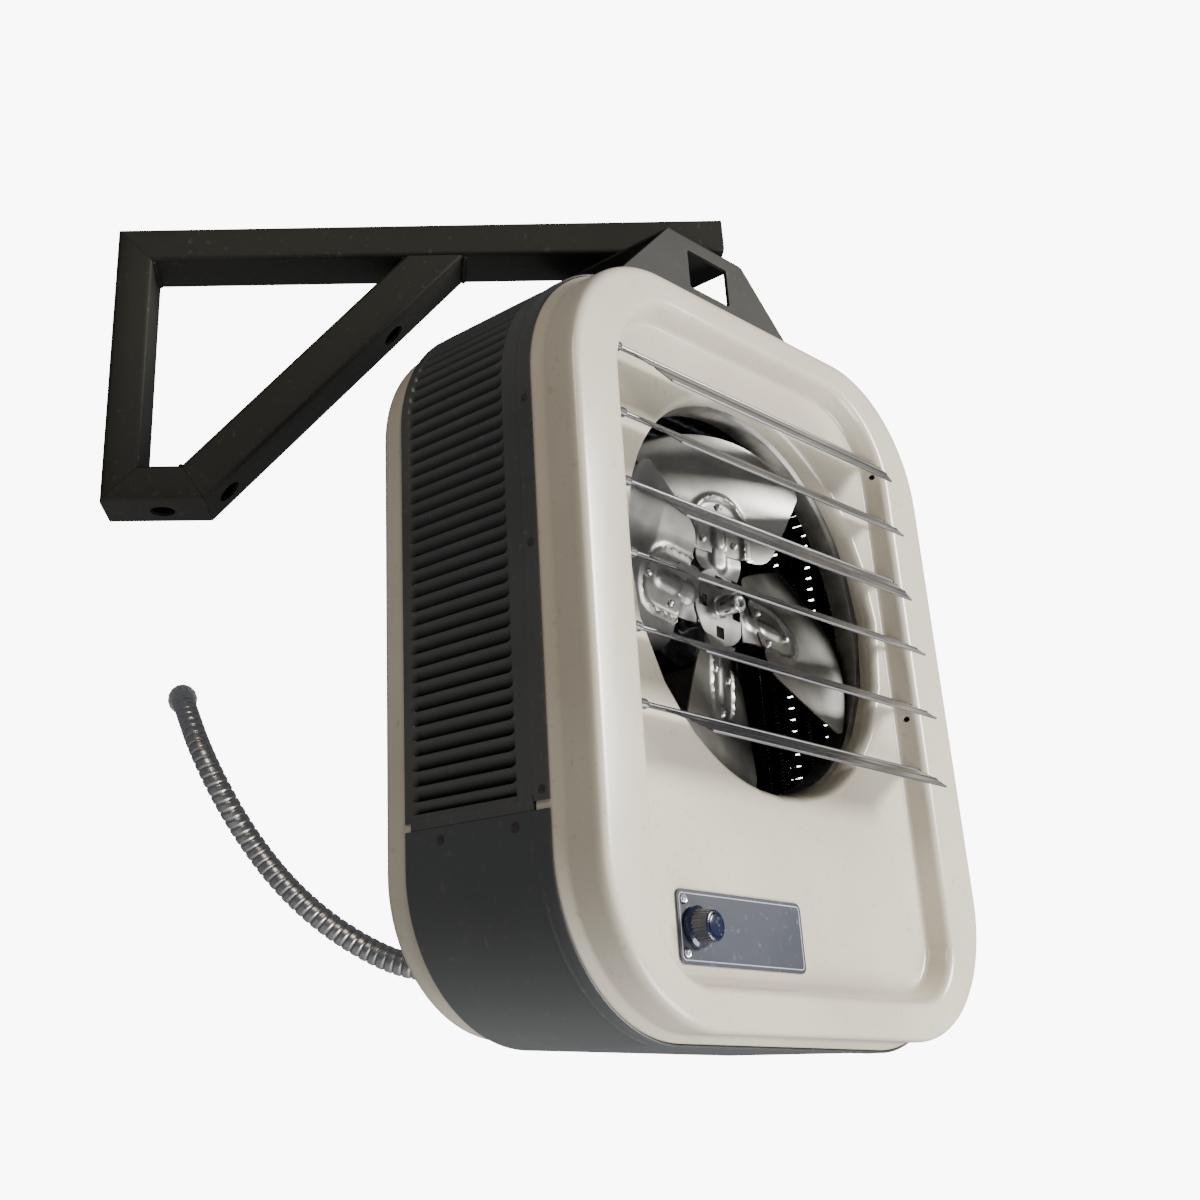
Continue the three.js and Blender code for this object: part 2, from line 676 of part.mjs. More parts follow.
function topBar() {
  const inner = ARM_REACH - TUBE_FACE;
  const corners = [
    [-ARM_TAIL, ARM_UNDERSIDE], [inner, ARM_UNDERSIDE], [ARM_REACH, ARM_TOP], [-ARM_TAIL, ARM_TOP],
  ];
  const middle = ARM_TOP - TUBE_FACE / 2;
  const boltDisc = disc(0, 0, SWIVEL_BOLT + CLEARANCE, 12);
  const boltHole = extrudeUp(boltDisc, ARM_UNDERSIDE - OVERRUN, TUBE_FLOOR + OVERRUN);
  return armTube(corners, [-ARM_TAIL, middle], [ARM_REACH, middle], TUBE_FACE, [boltHole]);
}

function dropLeg() {
  const inner = ARM_REACH - TUBE_FACE;
  const weld = Math.SQRT2 * SEAT;
  const corners = [
    [inner, ARM_UNDERSIDE - weld], [inner, FOOT_TOP + weld], [ARM_REACH, ARM_BOTTOM + weld],
    [ARM_REACH, ARM_TOP - weld],
  ];
  const middle = ARM_REACH - TUBE_FACE / 2;
  return armTube(corners, [middle, ARM_BOTTOM], [middle, ARM_TOP], TUBE_FACE);
}

function footBar() {
  const inner = ARM_REACH - TUBE_FACE;
  const corners = [
    [BRACE_TOE, ARM_BOTTOM], [ARM_REACH, ARM_BOTTOM], [inner, FOOT_TOP], [BRACE_FOOT, FOOT_TOP],
  ];
  const middle = ARM_BOTTOM + TUBE_FACE / 2;
  const drain = extrudeUp(disc((inner + BRACE_FOOT) / 2, 0, ACCESS_HOLE, 12),
    ARM_BOTTOM - OVERRUN, ARM_BOTTOM + TUBE_WALL + OVERRUN);
  return armTube(corners, [BRACE_TOE, middle], [ARM_REACH, middle], TUBE_FACE, [drain]);
}

function diagonalBrace() {
  const weld = Math.SQRT2 * SEAT;
  const top = BRACE_FOOT - BRACE_RUN;
  const corners = [
    [BRACE_TOE - weld, ARM_BOTTOM], [BRACE_FOOT - weld, FOOT_TOP],
    [top, ARM_UNDERSIDE - SEAT], [top - BRACE_TOP_WIDTH, ARM_UNDERSIDE - SEAT],
  ];
  const across = new THREE.Vector2(-Math.sin(braceAngle), -Math.cos(braceAngle));
  across.multiplyScalar(BRACE_FACE / 2);
  const start = [BRACE_FOOT + across.x, FOOT_TOP + across.y];
  const end = [top + across.x, ARM_UNDERSIDE + across.y];
  const length = Math.hypot(end[0] - start[0], end[1] - start[1]);
  const holeShares = [0.06, 0.8];
  const holes = holeShares.map((share) => {
    const round = disc(share * length, 0, ACCESS_HOLE, 12);
    const hole = extrudeUp(round, BRACE_FACE / 2 - TUBE_WALL - OVERRUN, BRACE_FACE);
    return hole.rotateY(-Math.PI + braceAngle).translate(start[0], 0, start[1]);
  });
  return armTube(corners, start, end, BRACE_FACE, holes);
}

function weldNut() {
  const ring = withHoles(disc(0, 0, WELD_NUT, 6), [disc(0, 0, SWIVEL_BOLT + CLEARANCE, 12)]);
  return extrudeUp(ring, TUBE_FLOOR + SEAT, TUBE_FLOOR + WELD_NUT_HEIGHT);
}

// Shroud ring behind the outlet lip, nested in the lip's own curve
function fanShroud() {
  const flange = 12;
  const throat = -1.8;
  const thickness = 1.2;
  const stepLength = 6;
  const length = 22;
  const outside = (radius, inset, reach) => [
    { on: OUTLET, offset: OUTLET_LIP + flange, depth: RECESS_DEPTH + OUTLET_LIP - radius },
    ...lipArc(radius),
    { on: OUTLET, offset: OUTLET_LIP - radius, depth: RECESS_DEPTH + OUTLET_LIP + 2 * SEAT + inset },
    { on: OUTLET, offset: throat + inset, depth: RECESS_DEPTH + OUTLET_LIP + stepLength + inset },
    { on: OUTLET, offset: throat + inset, depth: RECESS_DEPTH + OUTLET_LIP + reach },
  ];
  const radius = OUTLET_LIP - CASE_SHEET - 2 * SEAT;
  const back = outside(radius - thickness, thickness, length).reverse();
  return loftLoop([...outside(radius, 0, length), ...back].map(ringAt));
}

// Fan: a hub and a four-armed spider with a pressed blade riveted to each arm

const bladePitch = THREE.MathUtils.degToRad(BLADE_PITCH_DEGREES);

function bladeSurface(u, v) {
  const rootChord = 66;
  const tipChord = 146;
  const camber = 9;
  const flareShare = 0.7;
  const chord = (rootChord + (tipChord - rootChord) * Math.pow(u, flareShare)) * (v - 0.5);
  const spread = chord * Math.cos(bladePitch);
  const tip = Math.sqrt(FAN_RADIUS * FAN_RADIUS - spread * spread);
  const reach = BLADE_ROOT + (tip - BLADE_ROOT) * u;
  const past = Math.max(reach - SPIDER_REACH, 0) / (FAN_RADIUS - SPIDER_REACH);
  const belly = camber * past * (1 - 4 * (v - 0.5) * (v - 0.5));
  const back = chord * Math.sin(bladePitch) - belly * Math.cos(bladePitch);
  return new THREE.Vector3(reach, back, spread + belly * Math.sin(bladePitch));
}

function fanBlade() {
  return sheetOn((u, v) => bladeSurface(Math.max(u, 0), v), 5, 6, BLADE_SHEET);
}

function fanSpider() {
  const dish = 31;
  const armHalf = 22;
  const armEnd = 10;
  const window = 5;
  const windowReach = 22;
  const pieces = [extrudeBack(disc(0, 0, dish, 24), FAN_PLANE, FAN_PLANE + SPIDER_SHEET)];
  const centre = disc(0, 0, HUB_RADIUS + SEAT / 2, 16);
  const holes = [extrudeBack(centre, FAN_PLANE - OVERRUN, FAN_PLANE + 2 * OVERRUN)];
  for (let blade = 0; blade < BLADE_COUNT; blade += 1) {
    const turn = (geometry) => geometry.rotateY(blade * 2 * Math.PI / BLADE_COUNT);
    const arm = polygon([
      [HUB_RADIUS, -armHalf / 2], [dish, -armHalf], [SPIDER_REACH - armEnd, -armHalf],
      [SPIDER_REACH, -armEnd], [SPIDER_REACH, armEnd],
      [SPIDER_REACH - armEnd, armHalf], [dish, armHalf], [HUB_RADIUS, armHalf / 2],
    ]);
    const plate = extrudeBack(arm, SPIDER_LAYER - SPIDER_SHEET / 2, SPIDER_LAYER + SPIDER_SHEET / 2);
    pieces.push(turn(plate.rotateX(-bladePitch).translate(0, FAN_PLANE, 0)));
    const opening = rectangle(windowReach - window, windowReach + window, -window, window);
    holes.push(turn(extrudeBack(opening, FAN_PLANE - 2 * OVERRUN, FAN_PLANE + 3 * OVERRUN)));
  }
  return cut(join(pieces), holes);
}

function fanHub() {
  const collar = 12;
  const collarGap = 8;
  const step = FAN_PLANE + SPIDER_SHEET + SEAT + collarGap;
  const bore = SHAFT_RADIUS + SEAT / 2;
  return turned([
    [bore, HUB_FRONT], [HUB_RADIUS, HUB_FRONT], [HUB_RADIUS, step], [collar, step], [collar, HUB_REAR],
    [bore, HUB_REAR], [bore, HUB_FRONT],
  ], 16);
}

function motorShaft() {
  const recess = 3;
  const start = HUB_FRONT + recess;
  return turned([[0, start], [SHAFT_RADIUS, start], [SHAFT_RADIUS, SHAFT_END], [0, SHAFT_END]], 12);
}

// Motor: a round shell with a bearing boss at the front, on a bridge to the rear panel

function motorHousing() {
  const boss = 14;
  const bossRise = 6;
  const round = 6;
  const bore = SHAFT_RADIUS + SEAT / 2;
  return turnedBack([
    [bore, MOTOR_FRONT - bossRise], [boss, MOTOR_FRONT - bossRise], [boss, MOTOR_FRONT],
    [MOTOR_RADIUS - round, MOTOR_FRONT], [MOTOR_RADIUS, MOTOR_FRONT + round],
    [MOTOR_RADIUS, MOTOR_REAR - round], [MOTOR_RADIUS - round, MOTOR_REAR], [0, MOTOR_REAR],
    [0, SHAFT_END + 2 * CLEARANCE], [bore, SHAFT_END + 2 * CLEARANCE], [bore, MOTOR_FRONT - bossRise],
  ], 0, OUTLET_HEIGHT, 20);
}

function motorBridge() {
  const half = 78;
  const foot = 26;
  const height = 40;
  const rear = REAR_INNER - SEAT;
  const points = [
    [-half - foot, rear], [-half - foot, rear - BRIDGE_SHEET], [-half, rear - BRIDGE_SHEET],
    [-half, BRIDGE_FRONT], [half, BRIDGE_FRONT],
    [half, rear - BRIDGE_SHEET], [half + foot, rear - BRIDGE_SHEET], [half + foot, rear],
    [half - BRIDGE_SHEET, rear], [half - BRIDGE_SHEET, BRIDGE_FRONT + BRIDGE_SHEET],
    [-half + BRIDGE_SHEET, BRIDGE_FRONT + BRIDGE_SHEET], [-half + BRIDGE_SHEET, rear],
  ];
  return extrudeUp(polygon(points), OUTLET_HEIGHT - height / 2, OUTLET_HEIGHT + height / 2);
}

function motorNut() {
  const radius = 4.5;
  const height = 4;
  const front = BRIDGE_FRONT + BRIDGE_SHEET + SEAT;
  return extrudeBack(disc(0, 0, radius, 6), front, front + height);
}

// Heating elements: sheathed rods bent to an upside-down U, finned along both legs

function elementRings(depth) {
  const stations = [];
  const legTop = ELEMENT_TOP - ELEMENT_BEND;
  const leg = [[ELEMENT_FOOT, ELEMENT_SHEATH]];
  const pitch = (legTop - FIN_START) / FINS_PER_LEG;
  for (let fin = 0; fin < FINS_PER_LEG; fin += 1) {
    leg.push([FIN_START + fin * pitch, ELEMENT_SHEATH], [FIN_START + (fin + 0.5) * pitch, ELEMENT_FIN]);
  }
  for (const [z, radius] of leg) stations.push({ x: ELEMENT_REACH, z, heading: Math.PI / 2, radius });
  for (let step = 0; step <= CORNER_STEPS; step += 1) {
    const angle = (step / CORNER_STEPS) * Math.PI / 2;
    stations.push({
      x: ELEMENT_REACH - ELEMENT_BEND * (1 - Math.cos(angle)),
      z: legTop + ELEMENT_BEND * Math.sin(angle),
      heading: angle + Math.PI / 2,
      radius: ELEMENT_SHEATH,
    });
  }
  const mirrored = stations.map(
    ({ x, z, heading, radius }) => ({ x: -x, z, heading: 2 * Math.PI - heading, radius }));
  const sideCount = 7;
  return [...stations, ...mirrored.reverse()].map(({ x, z, heading, radius }) => {
    const ring = [];
    for (let side = 0; side < sideCount; side += 1) {
      const angle = 2 * Math.PI * side / sideCount;
      const out = radius * Math.cos(angle);
      const up = z - out * Math.cos(heading);
      ring.push(new THREE.Vector3(x + out * Math.sin(heading), depth + radius * Math.sin(angle), up));
    }
    return ring;
  });
}

// A sheet with a hole for each element, standing on the rear panel
function elementSupport(side) {
  const margin = 4;
  const foot = 18;
  const height = OUTLET_HEIGHT + MOTOR_RADIUS / 2;
  const rear = REAR_INNER - SEAT;
  const reach = ELEMENT_FIN + margin;
  const [left, right] = span(side, ELEMENT_REACH - reach, ELEMENT_REACH + reach);
  const plate = rectangle(left, right, ELEMENT_FIRST_ROW - ELEMENT_FIN - margin, rear);
  plate.holes = ELEMENT_DEPTHS.map((depth) => disc(side * ELEMENT_REACH, depth, ELEMENT_FIN + CLEARANCE, 12));
  return join([
    extrudeUp(plate, height, height + CASE_SHEET),
    block(left, right, rear - CASE_SHEET, rear, height - foot, height + CASE_SHEET / 2),
  ]);
}

function elementBushing() {
  const ring = withHoles(disc(0, 0, BUSHING_RADIUS, 10), [disc(0, 0, ELEMENT_SHEATH + SEAT, 10)]);
  return extrudeUp(ring, DIVIDER_TOP + SEAT, DIVIDER_TOP + SEAT + BUSHING_HEIGHT);
}

// Divider between the warm chamber and the wiring space
function divider() {
  const half = HALF_WIDTH - CASE_SHEET - SEAT;
  const rear = REAR_INNER - SEAT;
  const plate = polygon([
    [-half, RECESS_BACK + SEAT], [half, RECESS_BACK + SEAT], [half, rear - RIM_ROUND],
    [half - RIM_ROUND, rear], [RIM_ROUND - half, rear], [-half, rear - RIM_ROUND],
  ]);
  plate.holes = [-ELEMENT_REACH, ELEMENT_REACH].flatMap((x) =>
    ELEMENT_DEPTHS.map((depth) => disc(x, depth, ELEMENT_SHEATH + CLEARANCE, 8)));
  return extrudeUp(plate, DIVIDER_TOP - CASE_SHEET, DIVIDER_TOP);
}

// Wiring space: terminal block, contactor, thermostat, limit switch and earth lug

function terminalBlock() {
  const left = 62;
  const pole = 17;
  const poleCount = 4;
  const wall = 2.4;
  const rise = 39;
  const height = 40;
  const depth = 22.5;
  const ribDepth = 30.5;
  const rear = REAR_INNER - SEAT;
  const [front, rib] = [rear - depth, rear - ribDepth];
  const points = [[left, rear]];
  for (let place = 0; place < poleCount; place += 1) {
    const start = left + place * (pole + wall);
    points.push([start, rib], [start + wall, rib], [start + wall, front], [start + wall + pole, front]);
  }
  const right = left + poleCount * (pole + wall) + wall;
  points.push([right - wall, rib], [right, rib], [right, rear]);
  return extrudeUp(polygon(points), rise - HALF_HEIGHT, rise + height - HALF_HEIGHT);
}

function contactor() {
  const left = 7;
  const right = 55;
  const rise = 33;
  const height = 56;
  const step = 14;
  const [bottom, top] = [rise - HALF_HEIGHT, rise + height - HALF_HEIGHT];
  const rear = REAR_INNER - SEAT;
  const profile = [[rear, bottom], [rear, top], [rear - 2 * step, top], [rear - 2 * step, top - step],
    [rear - 3 * step, top - step], [rear - 3 * step, bottom + step], [rear - 2 * step, bottom + step],
    [rear - 2 * step, bottom]];
  return extrudeRight(polygon(profile.reverse()), left, right);
}

function thermostatBody() {
  const halfWidth = 20;
  const halfHeight = 17;
  const length = 30;
  const neck = 7;
  const front = RECESS_BACK + SEAT;
  const bore = STEM_RADIUS + SEAT;
  const body = join([
    extrudeBack(rectangle(KNOB_X - halfWidth, KNOB_X + halfWidth, KNOB_Z - halfHeight, KNOB_Z + halfHeight),
      front + OVERRUN, front + OVERRUN + length),
    extrudeBack(disc(KNOB_X, KNOB_Z, neck, 10), front, front + 2 * OVERRUN),
  ]);
  return cut(body, [extrudeBack(disc(KNOB_X, KNOB_Z, bore, 10), front - OVERRUN, STEM_END + SEAT)]);
}

function thermostatStem() {
  const front = KNOB_REAR - KNOB_HEIGHT / 2;
  return extrudeBack(disc(KNOB_X, KNOB_Z, STEM_RADIUS, 10), front, STEM_END);
}

function thermostatKnob() {
  const skirt = 4;
  const slope = 1.2;
  const gripInset = 2.5;
  const taper = 0.8;
  const edge = 1.5;
  const front = KNOB_REAR - KNOB_HEIGHT;
  const grip = KNOB_RADIUS - gripInset;
  const socket = STEM_RADIUS + SEAT / 2;
  const socketEnd = KNOB_REAR - KNOB_HEIGHT / 2 - SEAT;
  return turnedBack([
    [socket, KNOB_REAR], [KNOB_RADIUS, KNOB_REAR], [KNOB_RADIUS, KNOB_REAR - skirt],
    [grip, KNOB_REAR - skirt - slope],
    [grip - taper, front + edge], [grip - taper - edge, front], [0, front],
    [0, socketEnd], [socket, socketEnd], [socket, KNOB_REAR],
  ], KNOB_X, KNOB_Z, 20);
}

function controlPlate() {
  const outline = roundedRectangle(
    PLATE_LEFT, PLATE_LEFT + PLATE_WIDTH, PLATE_BOTTOM, PLATE_BOTTOM + PLATE_HEIGHT, PLATE_CORNER);
  outline.holes = [disc(KNOB_X, KNOB_Z, STEM_RADIUS + CLEARANCE, 10)];
  return extrudeBack(outline, PLATE_FRONT, PLATE_FRONT + PLATE_SHEET);
}

function plateScrew() {
  const radius = 3.2;
  const rise = 1.6;
  const rear = PLATE_FRONT - SEAT;
  return turned([
    [0, rear - rise], [radius / 2, rear - rise], [radius, rear - rise / 3], [radius, rear], [0, rear],
  ], 10);
}

function limitSwitch() {
  const x = 118;
  const y = 62;
  const radius = 9.5;
  const height = 9;
  const ear = 16;
  const base = DIVIDER_TOP + SEAT;
  return join([
    extrudeUp(disc(x, y, radius, 14), base, base + height),
    block(x - ear, x + ear, y - radius / 2, y + radius / 2, base, base + CASE_SHEET),
  ]);
}

function earthLug() {
  const x = -92;
  const rise = 49;
  const width = 12;
  const height = 22;
  const z = rise - HALF_HEIGHT;
  const rear = REAR_INNER - SEAT;
  return join([
    block(x - width / 2, x + width / 2, rear - CASE_SHEET, rear, z, z + height),
    extrudeBack(disc(x, z + height * 2 / 3, width / 3, 6), rear - width / 2, rear - CASE_SHEET / 2),
  ]);
}

// Conduit: a ribbed metal hose between two squeeze connectors

// The conduit's middle line, counted from the mouth of the casing's connector
const CONDUIT_ROUTE = [
  [0, 0, 0], [0, 11, 0], [0, 22, 0], [-0.9, 45.2, -0.3], [-5.9, 67.7, -2.1], [-14.6, 89, -5.1],
  [-25.4, 109.4, -7.4], [-36.1, 129.9, -6.2], [-45.7, 150.1, -0.2], [-56, 168.6, 9.1],
  [-68.8, 184.2, 20.5], [-82.7, 197.6, 33.4], [-95.6, 210.3, 47.9], [-106.6, 223.2, 63.7],
  [-116.1, 235.8, 80.7], [-126.1, 246.3, 98.8], [-138.2, 252.9, 117.4], [-151.2, 256.6, 136.3],
  [-162.3, 261.3, 156], [-169.6, 269.2, 176.5], [-172.6, 280.1, 196.7], [-171.1, 293.6, 215.4],
  [-165.7, 309.7, 231.3], [-157.1, 327.6, 243.1], [-145.8, 346.3, 250.9], [-140, 355.1, 253.8],
  [-134.1, 363.9, 256.8], [-128.2, 372.8, 259.7],
];
const conduitPoints = CONDUIT_ROUTE.map(
  ([x, y, z]) => new THREE.Vector3(CONDUIT_X + x, CONDUIT_MOUTH + y, CONDUIT_Z + z));

// A connector with its mouth at the origin, and its throat towards +Y
function connector() {
  const waist = 12.9;
  const collar = 5.4;
  const throatEnd = CONNECTOR_LENGTH + 3 * NUT_THICKNESS;
  return turned([
    [CONDUIT_BORE, 0], [CONNECTOR_RADIUS, 0], [CONNECTOR_RADIUS, CONNECTOR_LENGTH / 2],
    [waist, CONNECTOR_LENGTH / 2],
    [waist, CONNECTOR_LENGTH - collar], [CONNECTOR_RADIUS, CONNECTOR_LENGTH - collar],
    [CONNECTOR_RADIUS, CONNECTOR_LENGTH], [THROAT_RADIUS, CONNECTOR_LENGTH], [THROAT_RADIUS, throatEnd],
    [CONDUIT_BORE, throatEnd], [CONDUIT_BORE, 0],
  ], 14);
}

function connectorNut() {
  const rear = REAR_INNER - SEAT;
  const lug = 2;
  const ring = withHoles(disc(CONDUIT_X, CONDUIT_Z, CONNECTOR_RADIUS + lug, 8),
    [disc(CONDUIT_X, CONDUIT_Z, THROAT_RADIUS + SEAT, 14)]);
  return extrudeBack(ring, rear - NUT_THICKNESS, rear);
}

function conduit() {
  const route = new THREE.CatmullRomCurve3(conduitPoints, false, 'centripetal');
  route.arcLengthDivisions = 600;
  const ribs = Math.round(route.getLength() / CONDUIT_RIB_PITCH);
  const steps = 2 * ribs;
  const frames = route.computeFrenetFrames(steps, false);
  const groove = 1.3;
  const boreSteps = 6;
  const sideCount = 8;
  const ringAtStep = (step, radius) => {
    const centre = route.getPointAt(step / steps);
    const ring = [];
    for (let side = 0; side < sideCount; side += 1) {
      const angle = 2 * Math.PI * side / sideCount;
      const point = centre.clone().addScaledVector(frames.normals[step], radius * Math.cos(angle));
      ring.push(point.addScaledVector(frames.binormals[step], radius * Math.sin(angle)));
    }
    return ring;
  };
  const rings = [];
  for (let step = 0; step <= steps; step += 1) {
    rings.push(ringAtStep(step, CONDUIT_RADIUS - (step % 2 === 0 ? groove : 0)));
  }
  for (let step = steps; step >= 0; step -= boreSteps) rings.push(ringAtStep(step, CONDUIT_BORE));
  if (steps % boreSteps !== 0) rings.push(ringAtStep(0, CONDUIT_BORE));
  return loftLoop(rings);
}

// Louver: a thin creased blade with cut-back front corners and a pin at each end of its rear edge
function louverBlade() {
  const endGap = 4;
  const cutBack = 26;
  const pinEnd = 3;
  const pinInset = 10;
  const thickness = 0.8;
  const crease = 1.6;
  const halfRear = RECESS_WIDTH / 2 - endGap;
  const halfFront = halfRear - cutBack;
  const rise = (share) => crease * Math.sin(Math.PI * share);
  const surface = (u, v) => new THREE.Vector3(
    (2 * v - 1) * (halfRear + (halfFront - halfRear) * u), -LOUVER_PIN - LOUVER_CHORD * u, rise(u));
  const pins = [-1, 1].map((side) => {
    const [left, right] = span(side, halfRear - pinInset, RECESS_WIDTH / 2 + pinEnd);
    return extrudeRight(disc(0, 0, LOUVER_PIN, 6), left, right);
  });
  const curl = (u, v) => surface(u, v).setY(surface(u, v).y + LOUVER_PIN);
  return join([sheetOn(curl, 4, 1, thickness), ...pins]);
}

// Assembly

function mesh(name, geometry, material) {
  const piece = new THREE.Mesh(geometry, material);
  piece.name = name;
  return piece;
}

// A group of copies of one piece, numbered from 1, at the given places
function copies(name, build, material, places) {
  const group = new THREE.Group();
  places.forEach((place, count) => {
    const piece = mesh(`${name}_${count + 1}`, build(), material);
    piece.position.set(...place);
    group.add(piece);
  });
  return group;
}

const arm = new THREE.Group();
arm.position.set(0, SWIVEL_DEPTH, 0);
arm.rotation.z = THREE.MathUtils.degToRad(ARM_TURN_DEGREES);
arm.add(
  mesh('arm_top_bar', topBar(), blackPaint),
  mesh('arm_drop_leg', dropLeg(), blackPaint),
  mesh('arm_foot_bar', footBar(), blackPaint),
  mesh('arm_diagonal_brace', diagonalBrace(), blackPaint),
  mesh('swivel_weld_nut', weldNut(), zinc),
);

const fan = new THREE.Group();
fan.position.set(0, 0, OUTLET_HEIGHT);
fan.rotation.y = THREE.MathUtils.degToRad(FIRST_BLADE_DEGREES);
fan.add(
  mesh('motor_shaft', motorShaft(), steel),
  mesh('fan_hub', fanHub(), aluminium),
  mesh('fan_spider', fanSpider(), aluminium),
);
for (let blade = 0; blade < BLADE_COUNT; blade += 1) {
  const piece = mesh(`fan_blade_${blade + 1}`, fanBlade(), aluminium);
  piece.position.y = FAN_PLANE;
  piece.rotation.y = blade * 2 * Math.PI / BLADE_COUNT;
  fan.add(piece);
}

const louvers = new THREE.Group();
LOUVER_HEIGHTS.forEach((z, place) => {
  const blade = mesh(`louver_blade_${place + 1}`, louverBlade(), aluminium);
  blade.position.set(0, LOUVER_DEPTH, z);
  blade.rotation.x = THREE.MathUtils.degToRad(LOUVER_TILT_DEGREES[place]);
  louvers.add(blade);
});

const elements = new THREE.Group();
ELEMENT_DEPTHS.forEach((depth, place) => {
  elements.add(mesh(`heating_element_${place + 1}`, loftCapped(elementRings(depth)), steel));
});

const yokeScrews = copies('yoke_screw', yokeScrew, zinc, [-1, 1].flatMap((side) => {
  const x = side * (FOOT_NEAR + FOOT_FAR) / 2;
  return [[x, WRAP_FRONT + YOKE_SCREW_INSET, 0], [x, WRAP_REAR - YOKE_SCREW_INSET, 0]];
}));

const motorNuts = copies('motor_nut', motorNut, zinc,
  [-1, 1].map((side) => [side * MOTOR_BOLT_REACH, 0, OUTLET_HEIGHT]));

const bushings = copies('element_bushing', elementBushing, ceramic, [-ELEMENT_REACH, ELEMENT_REACH].flatMap(
  (x) => ELEMENT_DEPTHS.map((depth) => [x, depth, 0])));

const plateScrews = copies('plate_screw', plateScrew, zinc,
  [PLATE_BOTTOM + PLATE_SCREW_INSET, PLATE_BOTTOM + PLATE_HEIGHT - PLATE_SCREW_INSET].map(
    (z) => [PLATE_LEFT + PLATE_SCREW_INSET, 0, z]));

const inletConnector = mesh('conduit_connector', connector(), zinc);
inletConnector.position.set(CONDUIT_X, CONDUIT_MOUTH - SEAT, CONDUIT_Z);
inletConnector.rotation.z = Math.PI;

const [beforeEnd, conduitEnd] = conduitPoints.slice(-2);
const endHeading = conduitEnd.clone().sub(beforeEnd).normalize();
const endConnector = mesh('conduit_end_connector', connector(), zinc);
endConnector.position.copy(conduitEnd).addScaledVector(endHeading, SEAT);
endConnector.quaternion.setFromUnitVectors(new THREE.Vector3(0, 1, 0), endHeading);

const heater = new THREE.Group();
heater.add(
  mesh('front_panel', frontPanel(), almond),
  mesh('rear_panel', rearPanel(), almond),
  mesh('intake_grille', intakeGrille(), charcoal),
  mesh('lower_cover', lowerCover(), charcoal),
  mesh('swivel_yoke', swivelYoke(), blackPaint),
  mesh('swivel_bolt', swivelBolt(), zinc),
  mesh('swivel_washer', swivelWasher(), zinc),
  mesh('compartment_divider', divider(), zinc),
  mesh('fan_shroud', fanShroud(), zinc),
  mesh('motor_housing', motorHousing(), steel),
  mesh('motor_bridge', motorBridge(), zinc),
  mesh('element_support_right', elementSupport(1), zinc),
  mesh('element_support_left', elementSupport(-1), zinc),
  mesh('terminal_block', terminalBlock(), phenolic),
  mesh('contactor', contactor(), phenolic),
  mesh('thermostat_body', thermostatBody(), phenolic),
  mesh('thermostat_stem', thermostatStem(), steel),
  mesh('thermostat_knob', thermostatKnob(), blackPlastic),
  mesh('control_plate', controlPlate(), slate),
  mesh('limit_switch', limitSwitch(), phenolic),
  mesh('earth_lug', earthLug(), zinc),
  mesh('connector_nut', connectorNut(), zinc),
  mesh('conduit', conduit(), steel),
  inletConnector, endConnector, fan, louvers, elements, bushings, yokeScrews, motorNuts, plateScrews,
);

const unit = new THREE.Group();
unit.add(arm, heater);
unit.position.set(0, -SWIVEL_DEPTH, -ARM_TOP);

export default new THREE.Group().add(unit);
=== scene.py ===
import math

import bmesh
import bpy
import numpy as np
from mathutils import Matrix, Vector


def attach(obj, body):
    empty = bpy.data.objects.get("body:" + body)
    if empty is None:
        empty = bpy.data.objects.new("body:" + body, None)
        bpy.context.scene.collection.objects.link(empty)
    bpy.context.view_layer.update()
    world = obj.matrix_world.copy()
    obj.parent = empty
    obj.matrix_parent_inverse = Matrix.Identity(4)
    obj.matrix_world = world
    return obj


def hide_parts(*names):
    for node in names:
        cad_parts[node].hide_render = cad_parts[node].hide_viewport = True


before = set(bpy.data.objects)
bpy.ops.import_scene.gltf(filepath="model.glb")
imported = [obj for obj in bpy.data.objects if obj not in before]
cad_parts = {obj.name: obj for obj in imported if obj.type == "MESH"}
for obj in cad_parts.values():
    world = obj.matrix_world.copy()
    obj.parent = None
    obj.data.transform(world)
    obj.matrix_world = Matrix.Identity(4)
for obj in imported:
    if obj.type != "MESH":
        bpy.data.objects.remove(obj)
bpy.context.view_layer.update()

# The view: a person stands on the floor to the left of the heater and looks up at it.
# Heater millimetres are counted from the middle of the casing's front rim, x right, y back, z up.
bolt_depth, arm_top = 108.75, 418.5


def in_frame(points):
    """Heater millimetres moved to the arm's mount and turned into metres."""
    return (np.asarray(points, float) - (0.0, bolt_depth, arm_top)) * 0.001


camera = bpy.data.objects.new("photo_camera", bpy.data.cameras.new("photo_camera"))
bpy.context.scene.collection.objects.link(camera)
bpy.context.scene.camera = camera
heading, pitch = math.radians(41.14), math.radians(22.76)
look = Vector((math.sin(heading) * math.cos(pitch), math.cos(heading) * math.cos(pitch), math.sin(pitch)))
camera.location = in_frame((-986.4, -631.5, -320.3))
camera.rotation_mode = "QUATERNION"
camera.rotation_quaternion = look.to_track_quat("-Z", "Y")
camera.data.lens = 44.91
camera.data.sensor_width = 36.0
camera.data.shift_x, camera.data.shift_y = 0.1946, -0.1122
camera.data.clip_start, camera.data.clip_end = 0.01, 60.0

# Conduit: flexible metal conduit, a galvanised strip wound in a helix with its edges locked together.
# It leaves the back of the wiring space, bends round to the left and rises to its far connector.


def new_material(name):
    """A material, its shader, and the object coordinates that its textures follow."""
    material = bpy.data.materials.new(name)
    material.use_nodes = True
    nodes = material.node_tree.nodes
    return material, nodes["Principled BSDF"], nodes.new("ShaderNodeTexCoord").outputs["Object"]


